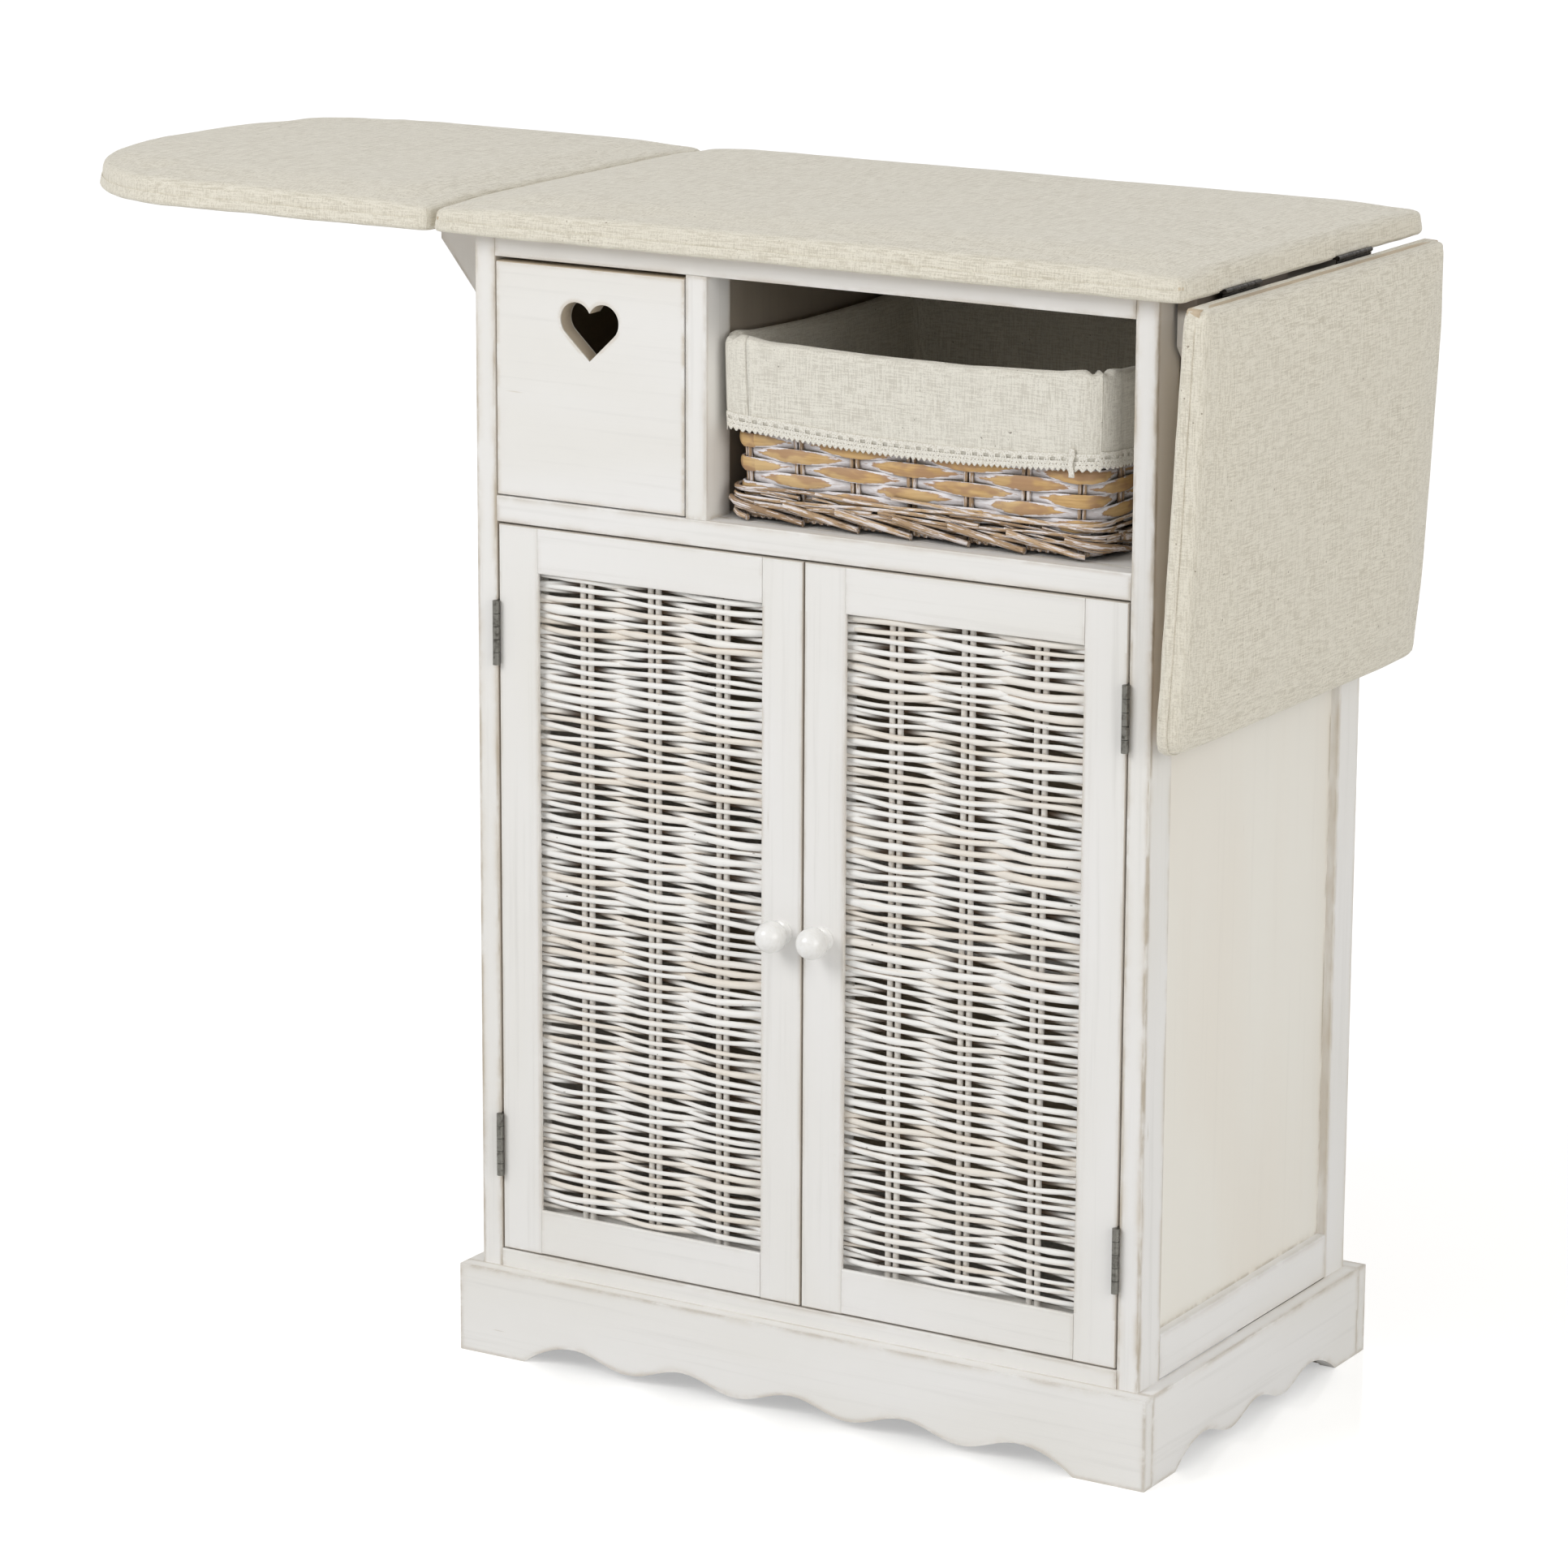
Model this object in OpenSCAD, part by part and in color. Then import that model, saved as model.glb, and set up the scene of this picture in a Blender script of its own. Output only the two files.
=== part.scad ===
/* [Cabinet] */
// Width of the cabinet over its corner posts
body_w = 574; // [480:1:700]
// Depth of the cabinet over its corner posts
body_d = 342; // [300:1:420]
// Height of the cabinet from the floor to the underside of the ironing top
body_h = 877; // [800:1:950]
// Thickness of the frame timber, and width of a post seen from the front
frame_t = 18; // [15:0.5:24]
// Depth of a post along the cabinet's side
post_d = 34; // [26:1:44]
// Rounding of the frame timber's long edges
frame_edge_r = 1.2; // [0.5:0.1:2.5]
// Height of the rail under the doors
bottom_rail_h = 34; // [26:1:44]
// How far the rail under the doors stands above the plinth
bottom_rail_show = 14; // [8:1:20]
// Height of the rail between the doors and the top row
middle_rail_h = 20; // [16:1:30]
// Height of the rail above the top row
top_rail_h = 18; // [14:1:28]
// Height of the rails of the side frames
side_rail_h = 35; // [24:1:50]
// Height of the drawer and basket opening
row_h = 181; // [150:1:220]
// Width of the drawer's opening
drawer_bay_w = 167; // [140:1:200]
// Thickness of the inset side panels
side_panel_t = 6; // [4:0.5:9]
// Depth that a side panel lies behind the face of its frame
side_panel_recess = 7; // [4:0.5:9]
// Thickness of the back panel
back_panel_t = 4; // [3:0.5:8]
// Thickness of the shelf boards
shelf_t = 12; // [9:0.5:18]
// Thickness of the panel that parts drawer and basket
divider_panel_t = 9; // [6:0.5:12]
// Height of the loose shelf above the cabinet's floor
shelf_up = 280; // [150:1:380]
// Width and height of the battens that carry the shelf
batten = 14; // [10:1:18]
// Width of the batten that a wing bracket is hinged on
wing_batten_w = 56; // [50:1:80]
// Height of a door catch
catch_h = 22; // [16:1:30]

/* [Plinth] */
// Height of the plinth boards
plinth_h = 70; // [50:1:90]
// Thickness of the plinth boards
plinth_t = 13; // [10:0.5:18]
// Length of a foot on the front and back plinth boards
front_foot = 59; // [45:1:75]
// Length of a foot on the side plinth boards
side_foot = 37; // [30:1:50]
// Number of arches of the front plinth board
front_arches = 5; // [3:2:7]
// Number of arches of a side plinth board
side_arches = 3; // [3:2:5]
// Height of the arches at their peaks
arch_peak = 17.5; // [14:0.5:26]
// Height of the points between the arches
arch_valley = 6.5; // [5:0.5:12]
// Run of the end arch down to the foot
arch_run = 46; // [30:1:60]

/* [Doors] */
// Thickness of a door
door_t = 18; // [16:0.5:22]
// Gap around a door
door_gap = 1.5; // [1.2:0.1:3]
// Width of the door stiles and rails
stile_w = 35; // [28:1:45]
// Depth of the groove that holds the woven panel
groove_d = 6; // [4:0.5:8]
// Clearance of the woven panel in its groove
groove_gap = 0.3; // [0.2:0.1:0.6]
// Radius of the upright willow stakes
stake_r = 2.4; // [2:0.1:2.8]
// Distance between the pairs of stakes
stake_pitch = 60; // [45:1:70]
// Thickness of a willow weaver
weaver_t = 3.2; // [2.6:0.1:3.8]
// Height of a willow weaver
weaver_h = 4.6; // [3.5:0.1:5.5]
// Distance between weavers
weaver_pitch = 7.4; // [6:0.1:9]
// Radius of the ball of a door knob
knob_r = 12.2; // [10:0.1:15]
// Length of a knob's neck between the door's face and the ball
knob_neck = 3.8; // [2.5:0.1:7]
// Radius of a knob's base disc
knob_base_r = 9; // [7.5:0.5:11]
// Distance from a door's foot up to its knob
knob_up = 288.5; // [240:0.5:340]
// Distance from a door's edge to its knob
knob_in = 17; // [15:0.5:20]
// Length of a door hinge
door_hinge_len = 50; // [40:1:60]
// Distance from a door's end to the middle of its hinge
door_hinge_in = 85; // [60:1:120]
// Radius of a door hinge's knuckles
door_knuckle_r = 2.8; // [2.2:0.1:3.4]

/* [Drawer] */
// Thickness of the drawer's front
drawer_front_t = 15; // [12:0.5:18]
// Gap at the sides and foot of the drawer's front
drawer_gap = 1.2; // [0.8:0.1:2]
// Gap above the drawer's front
drawer_top_gap = 3; // [1.5:0.1:4]
// Room behind the drawer's box
drawer_rear_room = 29; // [10:1:80]
// Thickness of the drawer's sides and back
drawer_side_t = 9; // [7:0.5:12]
// Room above the drawer's sides
drawer_head_room = 31; // [20:1:60]
// Thickness of the drawer's bottom
drawer_bottom_t = 4; // [3:0.5:6]
// Radius of the heart's two lobes
heart_lobe_r = 13.5; // [11:0.5:16]
// Distance of a lobe's centre from the heart's middle line
heart_lobe_x = 12.1; // [9:0.1:14]
// Distance from the lobes' centres down to the heart's tip
heart_tip = 30; // [25:0.5:36]
// Distance from the drawer front's top edge to the lobes' centres
heart_down = 39; // [32:0.5:60]

/* [Basket] */
// Room beside the basket towards the drawer
basket_left_room = 5; // [3:1:30]
// Room beside the basket towards the cabinet's side
basket_right_room = 29; // [10:1:50]
// Room behind the basket
basket_rear_room = 30; // [10:1:60]
// Distance from the cabinet's face back to the basket's rim
basket_back = 10; // [4:1:26]
// Height of the basket's rim
basket_h = 136; // [110:1:142]
// How far each side leans out from foot to rim
basket_flare = 5; // [2:0.5:8]
// Thickness of the woven wall
basket_wall = 6; // [5:0.5:8]
// Corner radius of the basket
basket_corner_r = 22; // [14:1:30]
// Height of the plaited border at the foot
border_h = 26; // [20:1:34]
// How far the border stands proud of the wall
border_out = 3; // [2:0.5:5]
// Thickness of the cloth liner
liner_t = 1.6; // [1.2:0.1:2.5]
// How far the liner hangs down outside
liner_drop = 55; // [45:1:80]
// Height of the lace edging under the liner
lace_h = 13; // [9:0.5:18]

/* [Ironing top] */
// Overhang of the centre board past each side of the cabinet
side_overhang = 28.5; // [20:0.5:40]
// Overhang of the boards past the cabinet's front
front_overhang = 18; // [10:0.5:26]
// Overhang of the boards past the cabinet's back
back_overhang = 35; // [15:0.5:45]
// Thickness of the wooden boards
board_t = 10; // [8:0.5:14]
// Thickness of the padding and cover over a board's edge
skirt_t = 3; // [2.5:0.5:5]
// Height of the pad's upright edge
pad_side_h = 13; // [11:0.5:18]
// Rounding of the pad's upper edge
pad_edge_r = 7; // [5:0.5:12]
// Rise of the pad's crown above its rounded edge
pad_crown = 5; // [2:0.5:8]
// Distance over which the crown rises
crown_run = 55; // [30:1:90]
// Plan radius of the boards' square corners
board_corner_r = 6; // [4:1:30]
// Plan radius of the right leaf's outer corners
leaf_corner_r = 12; // [6:1:60]
// Gap between neighbouring boards
leaf_gap = 2; // [1.6:0.1:4]
// Length of the left leaf
left_leaf_len = 396; // [300:1:450]
// Length of the left leaf's rounded nose
nose_len = 160; // [120:1:220]
// Length of the right leaf
right_leaf_len = 324; // [250:1:400]

/* [Leaf hinges] */
// Length of a leaf hinge
leaf_hinge_len = 56; // [40:1:64]
// Distance from the cabinet's face to the middle of the front leaf hinge
leaf_hinge_front = 70; // [60:1:80]
// Distance from the cabinet's back to the middle of the rear leaf hinge
leaf_hinge_rear = 92; // [60:1:110]
// Width of a leaf hinge's plate
leaf_plate_w = 20; // [14:1:22]
// Radius of a leaf hinge's knuckles
leaf_knuckle_r = 1.8; // [1.6:0.1:2]
// Thickness of the hinge plates
plate_t = 1.2; // [0.8:0.1:1.4]
// Radius of the hinge pins
pin_r = 1; // [0.8:0.1:1.2]
// Running clearance of a knuckle around its pin
pin_gap = 0.05; // [0.02:0.01:0.1]
// Gap between neighbouring knuckles
knuckle_gap = 0.4; // [0.2:0.1:0.8]

/* [Wing brackets] */
// Length of a wing bracket past the swing of the leaf's hinge
wing_toe_len = 10.4; // [9:0.2:14]
// Radius of the rest button on a wing bracket's toe
rest_r = 4; // [3:0.5:4]
// Depth that a rest button is let into its wing bracket
rest_seat = 6; // [4:1:10]
// Height of a wing bracket at its hinged edge
wing_h = 215; // [180:1:240]
// Height of a wing bracket at its free end
wing_tip_h = 38; // [25:1:50]
// Thickness of a wing bracket
wing_t = 15; // [12:0.5:20]
// Gap between a wing bracket and the leaf that it carries
wing_top_gap = 0.3; // [0.2:0.1:0.6]
// Radius of a wing bracket hinge's knuckles
wing_knuckle_r = 1.8; // [1.6:0.1:2.4]
// Length of a wing bracket's hinge
wing_hinge_len = 44; // [30:1:50]
// Distance from a wing bracket's top or foot to the middle of its hinge
wing_hinge_in = 50; // [45:1:60]
// Width of a wing bracket hinge's plate
wing_plate_w = 16; // [12:1:17]

/* [Hidden] */

paint = "#e9e7e2";
raw_wood = "#cdbfa6";
linen = "#c9c3b3";
willow_white = "#ded9cf";
willow = "#b9905c";
lace_white = "#f0ece0";
steel = "#55524e";
nickel = "#a9a59c";

// Faces on each round
round_fn = 48;
edge_fn = 24;
// A cut runs this far past the face that it cuts
over = 1;
// Thickness of the slabs that a flared form is stretched over
slab = 0.01;
// Flat pieces that only meet are this far apart
seat_gap = 0.3;

// Half of the play between the two plates of a closed hinge
plate_play = 0.15;

// Levels and planes of the carcass
half_w = body_w / 2;
door_z0 = plinth_h + bottom_rail_show;
row_z1 = body_h - top_rail_h;
row_z0 = row_z1 - row_h;
door_z1 = row_z0 - middle_rail_h;
bay_x0 = -half_w + frame_t;
bay_x1 = half_w - frame_t;
bay_w = bay_x1 - bay_x0;
divider_x0 = bay_x0 + drawer_bay_w;
divider_x1 = divider_x0 + frame_t;
inner_y0 = frame_t;
inner_y1 = body_d - frame_t;
side_len = body_d - 2 * post_d;
panel_x = half_w - side_panel_recess;
wall_x = panel_x - side_panel_t;

// Doors, each as wide as half the opening allows
door_x0 = bay_x0 + door_gap;
door_z = door_z0 + door_gap;
door_w = (bay_w - 3 * door_gap) / 2;
door_h = door_z1 - door_z0 - 2 * door_gap;
opening_w = door_w - 2 * stile_w;
opening_h = door_h - 2 * stile_w;
weave_gap = 0.3;
wave = stake_r + weaver_t / 2 + weave_gap;
groove_w = 2 * wave + weaver_t + 2 * groove_gap;
weaver_len = opening_w + 2 * (groove_d - groove_gap);
weaver_rows = floor((opening_h - weaver_h) / weaver_pitch) + 1;
weave_step = stake_pitch / 5;
weave_steps = ceil(weaver_len / 2 / weave_step) - 1;
door_axis_x = bay_x0 + door_gap / 2;
door_axis_y = -door_knuckle_r - seat_gap;
door_plate_t = door_gap / 2 - plate_play;
door_plate_w = door_t - 3 - door_axis_y;
door_hinges_z = [door_z0 + door_hinge_in, door_z1 - door_hinge_in];
knob_base_t = 2;
knob_neck_r = 5.5;

// Drawer
drawer_w = drawer_bay_w - 2 * drawer_gap;
drawer_h = row_h - drawer_gap - drawer_top_gap;
drawer_x0 = bay_x0 + drawer_gap;
drawer_z0 = row_z0 + drawer_gap;
drawer_box_z0 = row_z0 + seat_gap;
drawer_box_d = inner_y1 - drawer_front_t - drawer_rear_room;
drawer_side_h = row_h - drawer_head_room;
box_x0 = drawer_x0 + drawer_gap;
box_w = drawer_w - 2 * drawer_gap;
divider_panel_x = divider_x0 + (frame_t - divider_panel_t) / 2;

// Basket: its foot is smaller than the liner over its rim by this much on each side
rim_out = basket_flare + liner_t + seat_gap;
basket_w = bay_x1 - divider_x1 - basket_left_room - basket_right_room - 2 * rim_out;
basket_d = inner_y1 - basket_back - basket_rear_room - 2 * rim_out;
basket_x = divider_x1 + basket_left_room + rim_out + basket_w / 2;
basket_y = basket_back + rim_out + basket_d / 2;
rim_k = basket_flare / basket_h;
liner_in = basket_wall + seat_gap;

// Ironing top
board_x = half_w + side_overhang;
top_y0 = -front_overhang;
top_y1 = body_d + back_overhang;
top_d = top_y1 - top_y0;
top_mid_y = (top_y0 + top_y1) / 2;
board_in = skirt_t + seat_gap;
hinge_x = board_x + leaf_gap / 2;
leaf_hinges_y = [leaf_hinge_front, body_d - leaf_hinge_rear];
left_x1 = -board_x - leaf_gap;
left_x0 = left_x1 - left_leaf_len;
right_x0 = board_x + leaf_gap;
right_x1 = right_x0 + right_leaf_len;
corner_pts = 6;
nose_pts = 40;

// Wing brackets, hinged at the middle of each side
wing_axis_x = half_w + wing_knuckle_r;
wing_y = (body_d - wing_t) / 2;
wing_axis_y = wing_y - wing_knuckle_r;
wing_z1 = body_h - wing_top_gap;
wing_z0 = wing_z1 - wing_h;
wing_top_z = body_h - leaf_knuckle_r - wing_top_gap;
wing_hinges_z = [wing_z1 - wing_hinge_in, wing_z0 + wing_hinge_in];
wing_fold_t = wing_knuckle_r + wing_t;
// The wing's top swings under the front leaf hinge, and its toe passes beyond it
swing_room = 1;
hinge_far = norm([hinge_x + leaf_plate_w - wing_axis_x,
  wing_axis_y - leaf_hinge_front + leaf_hinge_len / 2]);
wing_tip_x = -wing_axis_x - hinge_far - swing_room - wing_toe_len;

// The hanging right leaf leans in until its underside meets the folded wing's foot
lean = asin((hinge_x - wing_axis_x - wing_fold_t - seat_gap) / (body_h - wing_z0));
hang = 90 + lean;

// Rings of a pad's skin from its pocket out and over to the middle of its top,
// each with its inset from the outline and its height above the board's underside
hem_r = leaf_knuckle_r + 1.2;
hem_steps = [for (a = [0:30:90]) [skirt_t * (1 - sin(a)), hem_r * (1 - cos(a))]];
round_steps = [for (a = [0:22.5:90]) [pad_edge_r * (1 - cos(a)), pad_side_h + pad_edge_r * sin(a)]];
crown_steps = [for (t = [0.15, 0.35, 0.6, 1])
  [pad_edge_r + t * crown_run, pad_side_h + pad_edge_r + pad_crown * (1 - pow(1 - t, 2))]];
pad_rings = concat([[skirt_t, board_t]], hem_steps, round_steps, crown_steps);

// Points of a quarter round about a centre
function quarter(cx, cy, r, a0) =
  [for (i = [0:corner_pts - 1]) let (a = a0 + i * 90 / (corner_pts - 1)) [cx + r * cos(a), cy + r * sin(a)]];

// Outline of a board from x0 to x1, drawn in by an inset, with its own radius at each end
function board_outline(x0, x1, r0, r1, inset) =
  let (a = max(r0 - inset, 2), b = max(r1 - inset, 2),
    xl = x0 + inset, xr = x1 - inset, yl = top_y0 + inset, yh = top_y1 - inset)
  concat(
    quarter(xr - b, yh - b, b, 0),
    quarter(xl + a, yh - a, a, 90),
    quarter(xl + a, yl + a, a, 180),
    quarter(xr - b, yl + b, b, 270));

// Outline of the left leaf, square at x1 and with a half oval nose towards x0
function nose_outline(x0, x1, inset) =
  let (b = max(board_corner_r - inset, 2), xr = x1 - inset,
    yl = top_y0 + inset, yh = top_y1 - inset)
  concat(
    quarter(xr - b, yh - b, b, 0),
    [for (i = [0:nose_pts]) let (a = 90 + i * 180 / nose_pts)
      [x0 + nose_len + (nose_len - inset) * cos(a), top_mid_y + (top_d / 2 - inset) * sin(a)]],
    quarter(xr - b, yl + b, b, 270));

// Draws children in the cabinet's frame: the origin is on the floor, half way along
// the foot of the back plinth board and in the middle of its thickness
module in_frame() {
  translate([0, -body_d - plinth_t / 2, 0]) children();
}

// Mirrors children to the right or leaves them on the left
module side(s) {
  if (s > 0) mirror([1, 0, 0]) children();
  else children();
}

// A rectangle from a corner, with its four corners rounded by true arcs
module round_rect(w, d, r) {
  translate([r, 0]) square([w - 2 * r, d]);
  translate([0, r]) square([w, d - 2 * r]);
  for (x = [r, w - r], y = [r, d - r]) translate([x, y]) circle(r, $fn = edge_fn);
}

// Sawn timber with its long edges eased, along Z, X or Y
module upright(w, d, h) {
  linear_extrude(h) round_rect(w, d, frame_edge_r);
}

module rail_x(l, d, h) {
  translate([0, 0, h]) rotate([0, 90, 0]) linear_extrude(l) round_rect(h, d, frame_edge_r);
}

module rail_y(l, w, h) {
  translate([0, l, 0]) rotate([90, 0, 0]) linear_extrude(l) round_rect(w, h, frame_edge_r);
}

// One half of a butt hinge, its pin along Z and its plate towards +X.
// The half with the even knuckles carries the pin.
module hinge_half(len, r, plate_w, plate_t, plate_y, even) {
  pitch = len / 5;
  for (i = even ? [0, 2, 4] : [1, 3]) {
    z = -len / 2 + i * pitch + knuckle_gap / 2;
    difference() {
      union() {
        translate([0, 0, z]) cylinder(pitch - knuckle_gap, r = r, $fn = round_fn);
        translate([0, plate_y, z]) cube([r + over, plate_t, pitch - knuckle_gap]);
      }
      if (!even) translate([0, 0, z - over]) cylinder(pitch + over, r = pin_r + pin_gap, $fn = round_fn);
    }
  }
  translate([r + over / 2, plate_y, -len / 2]) cube([plate_w - r - over / 2, plate_t, len]);
  if (even) translate([0, 0, -len / 2]) cylinder(len, r = pin_r, $fn = round_fn);
}

// Carcass

module post(x, y) {
  translate([x, y, 0]) upright(frame_t, post_d, body_h);
}

module front_left_post() color(paint) in_frame() post(-half_w, 0);
module front_right_post() color(paint) in_frame() post(bay_x1, 0);
module back_left_post() color(paint) in_frame() post(-half_w, body_d - post_d);
module back_right_post() color(paint) in_frame() post(bay_x1, body_d - post_d);

// Rails of the left side's frame, between the posts
module side_rails() {
  for (z = [plinth_h, body_h - side_rail_h])
    translate([-half_w, post_d, z]) rail_y(side_len, frame_t, side_rail_h);
}

module left_side_rails() color(paint) in_frame() side_rails();
module right_side_rails() color(paint) in_frame() side(1) side_rails();

// Inset panel of the left side's frame
module side_panel() {
  translate([-panel_x, post_d, plinth_h + side_rail_h])
    cube([side_panel_t, side_len, body_h - plinth_h - 2 * side_rail_h]);
}

module left_side_panel() color(paint) in_frame() side_panel();
module right_side_panel() color(paint) in_frame() side(1) side_panel();

// Battens in the side panels' recess, flush with the frame, that carry the wing brackets
module wing_battens() color(paint) in_frame() for (s = [-1, 1]) side(s)
  translate([-half_w, (body_d - wing_batten_w) / 2, wing_z0])
    cube([side_panel_recess, wing_batten_w, body_h - side_rail_h - wing_z0]);

module back_rails() color(paint) in_frame() {
  for (z = [door_z0 - bottom_rail_h, body_h - bottom_rail_h])
    translate([bay_x0, inner_y1, z]) rail_x(bay_w, frame_t, bottom_rail_h);
}

module back_panel() color(raw_wood) in_frame() {
  translate([bay_x0, inner_y1, door_z0])
    cube([bay_w, back_panel_t, body_h - bottom_rail_h - door_z0]);
}

module top_rail() color(paint) in_frame() {
  translate([bay_x0, 0, row_z1]) rail_x(bay_w, frame_t, top_rail_h);
}

module middle_rail() color(paint) in_frame() {
  translate([bay_x0, 0, door_z1]) rail_x(bay_w, frame_t, middle_rail_h);
}

module bottom_rail() color(paint) in_frame() {
  translate([bay_x0, 0, door_z0 - bottom_rail_h]) rail_x(bay_w, frame_t, bottom_rail_h);
}

module divider_post() color(paint) in_frame() {
  translate([divider_x0, 0, row_z0]) upright(frame_t, post_d, row_h);
}

module divider_panel() color(paint) in_frame() {
  translate([divider_panel_x, post_d, row_z0])
    cube([divider_panel_t, inner_y1 - post_d, body_h - row_z0]);
}

// Floor of the top row, let in between the side panels round the four posts
module compartment_floor() color(paint) in_frame() translate([0, 0, row_z0 - shelf_t]) {
  translate([bay_x0, inner_y0, 0]) cube([bay_w, inner_y1 - inner_y0, shelf_t]);
  translate([-wall_x, post_d, 0]) cube([2 * wall_x, side_len, shelf_t]);
}

module floor_panel() color(paint) in_frame() {
  translate([bay_x0, inner_y0, door_z0 - shelf_t]) cube([bay_w, inner_y1 - inner_y0, shelf_t]);
}

// Loose shelf on two battens
module inner_shelf() color(paint) in_frame() {
  translate([-wall_x + seat_gap, post_d + seat_gap, door_z0 + shelf_up])
    cube([2 * (wall_x - seat_gap), side_len - 2 * seat_gap, shelf_t]);
}

module shelf_battens() color(raw_wood) in_frame() for (s = [-1, 1]) side(s)
  translate([-wall_x, post_d, door_z0 + shelf_up - batten]) rail_y(side_len, batten, batten);

// Runners that keep the drawer square between the side panel and the divider
module drawer_guides() color(raw_wood) in_frame() translate([0, post_d, row_z0]) {
  translate([-wall_x, 0, 0]) rail_y(side_len, bay_x0 + wall_x, batten);
  translate([divider_x0, 0, 0]) rail_y(side_len, divider_panel_x - divider_x0, batten);
}

// Catches under the compartment floor, one behind each door
module door_catches() color(nickel) in_frame() for (s = [-1, 1]) side(s)
  translate([-stile_w, door_t + seat_gap, row_z0 - shelf_t - catch_h])
    cube([stile_w - door_gap, batten, catch_h]);

// Plinth

// Height of the plinth board's lower edge at a distance from its middle
function arch_z(x, arches, run_end) =
  let (pitch = (run_end - arch_run) / ((arches - 1) / 2), u = (abs(x) - run_end + arch_run) / arch_run)
  u > 0 ? arch_peak * (1 - u * u)
  : (arch_peak + arch_valley) / 2 + (arch_peak - arch_valley) / 2 * cos(360 * x / pitch);

// Scalloped board standing on a foot at each end, in the XZ plane
module scalloped_board(len, foot, arches) {
  run_end = len / 2 - foot;
  steps = 14 * arches;
  rotate([90, 0, 0]) translate([0, 0, -plinth_t]) linear_extrude(plinth_t)
    polygon(concat(
      [[-len / 2, plinth_h], [-len / 2, 0], [-run_end, 0]],
      [for (i = [1:steps - 1]) let (x = -run_end + 2 * run_end * i / steps)
        [x, arch_z(x, arches, run_end)]],
      [[run_end, 0], [len / 2, 0], [len / 2, plinth_h]]));
}

module plinth_front() color(paint) in_frame() {
  translate([0, -plinth_t, 0]) scalloped_board(body_w + 2 * plinth_t, front_foot, front_arches);
}

// The back board stands against the wall and is left plain
module plinth_back() color(paint) in_frame() {
  translate([-half_w - plinth_t, body_d, 0]) cube([body_w + 2 * plinth_t, plinth_t, plinth_h]);
}

module plinth_side() {
  translate([-half_w, body_d / 2, 0]) rotate([0, 0, 90])
    scalloped_board(body_d, side_foot, side_arches);
}

module plinth_left() color(paint) in_frame() plinth_side();
module plinth_right() color(paint) in_frame() side(1) plinth_side();

// Ironing top

// Skin of a pad swept ring by ring over a family of outlines
module pad(outlines) {
  n = len(outlines[0]);
  rows = len(outlines);
  pts = [for (k = [0:rows - 1], p = outlines[k]) [p[0], p[1], pad_rings[k][1]]];
  polyhedron(pts, concat(
    [[for (i = [0:n - 1]) i]],
    [for (k = [0:rows - 2], i = [0:n - 1]) each
      [[k * n + i, (k + 1) * n + i, (k + 1) * n + (i + 1) % n],
       [k * n + i, (k + 1) * n + (i + 1) % n, k * n + (i + 1) % n]]],
    [[for (i = [n - 1:-1:0]) (rows - 1) * n + i]]));
}

module centre_board() color(raw_wood) in_frame() translate([0, 0, body_h])
  linear_extrude(board_t)
    polygon(board_outline(-board_x, board_x, board_corner_r, board_corner_r, board_in));

module centre_pad() color(linen) in_frame() translate([0, 0, body_h])
  pad([for (r = pad_rings) board_outline(-board_x, board_x, board_corner_r, board_corner_r, r[0])]);

module left_leaf_board() color(raw_wood) in_frame() translate([0, 0, body_h])
  linear_extrude(board_t) polygon(nose_outline(left_x0, left_x1, board_in));

module left_leaf_pad() color(linen) in_frame() translate([0, 0, body_h])
  pad([for (r = pad_rings) nose_outline(left_x0, left_x1, r[0])]);

// Turns a right leaf drawn level down to where it hangs
module hung() {
  translate([hinge_x, 0, body_h]) rotate([0, hang, 0]) translate([-hinge_x, 0, 0]) children();
}

module right_leaf_board() color(raw_wood) in_frame() hung() linear_extrude(board_t)
  polygon(board_outline(right_x0, right_x1, board_corner_r, leaf_corner_r, board_in));

module right_leaf_pad() color(linen) in_frame() hung()
  pad([for (r = pad_rings) board_outline(right_x0, right_x1, board_corner_r, leaf_corner_r, r[0])]);

// Hinges

// Door hinge half on the left: the plate stands in the gap beside the door
module door_hinge_half(moving) {
  for (z = door_hinges_z) translate([door_axis_x, door_axis_y, z]) rotate([0, 0, 90])
    hinge_half(door_hinge_len, door_knuckle_r, door_plate_w, door_plate_t,
      moving ? -door_plate_t - plate_play : plate_play, !moving);
}

module door_hinge_post_leaves() color(nickel) in_frame() for (s = [-1, 1]) side(s)
  door_hinge_half(false);
module left_door_hinge_leaves() color(nickel) in_frame() door_hinge_half(true);
module right_door_hinge_leaves() color(nickel) in_frame() side(1) door_hinge_half(true);

// Leaf hinge half under the right end of the centre board, or under the leaf beside it,
// with its pin on the boards' underside
module leaf_hinge_half(moving) {
  for (y = leaf_hinges_y) translate([hinge_x, y, 0]) mirror([moving ? 0 : 1, 0, 0]) rotate([-90, 0, 0])
    hinge_half(leaf_hinge_len, leaf_knuckle_r, leaf_plate_w, plate_t, 0, !moving);
}

module leaf_hinge_centre_leaves() color(steel) in_frame() for (s = [-1, 1]) side(s)
  translate([0, 0, body_h]) leaf_hinge_half(false);
module left_leaf_hinge_leaves() color(steel) in_frame() side(1)
  translate([0, 0, body_h]) leaf_hinge_half(true);
module right_leaf_hinge_leaves() color(steel) in_frame() hung() leaf_hinge_half(true);

// Wing brackets

// Round plug let into the wing's toe, larger all round by a gap where it is cut out
module rest_button(gap = 0) {
  z0 = wing_top_z - rest_seat - gap;
  translate([wing_tip_x + wing_toe_len / 2, wing_y + wing_t / 2, z0])
    cylinder(wing_z1 - z0, r = rest_r + gap, $fn = edge_fn);
}

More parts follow.
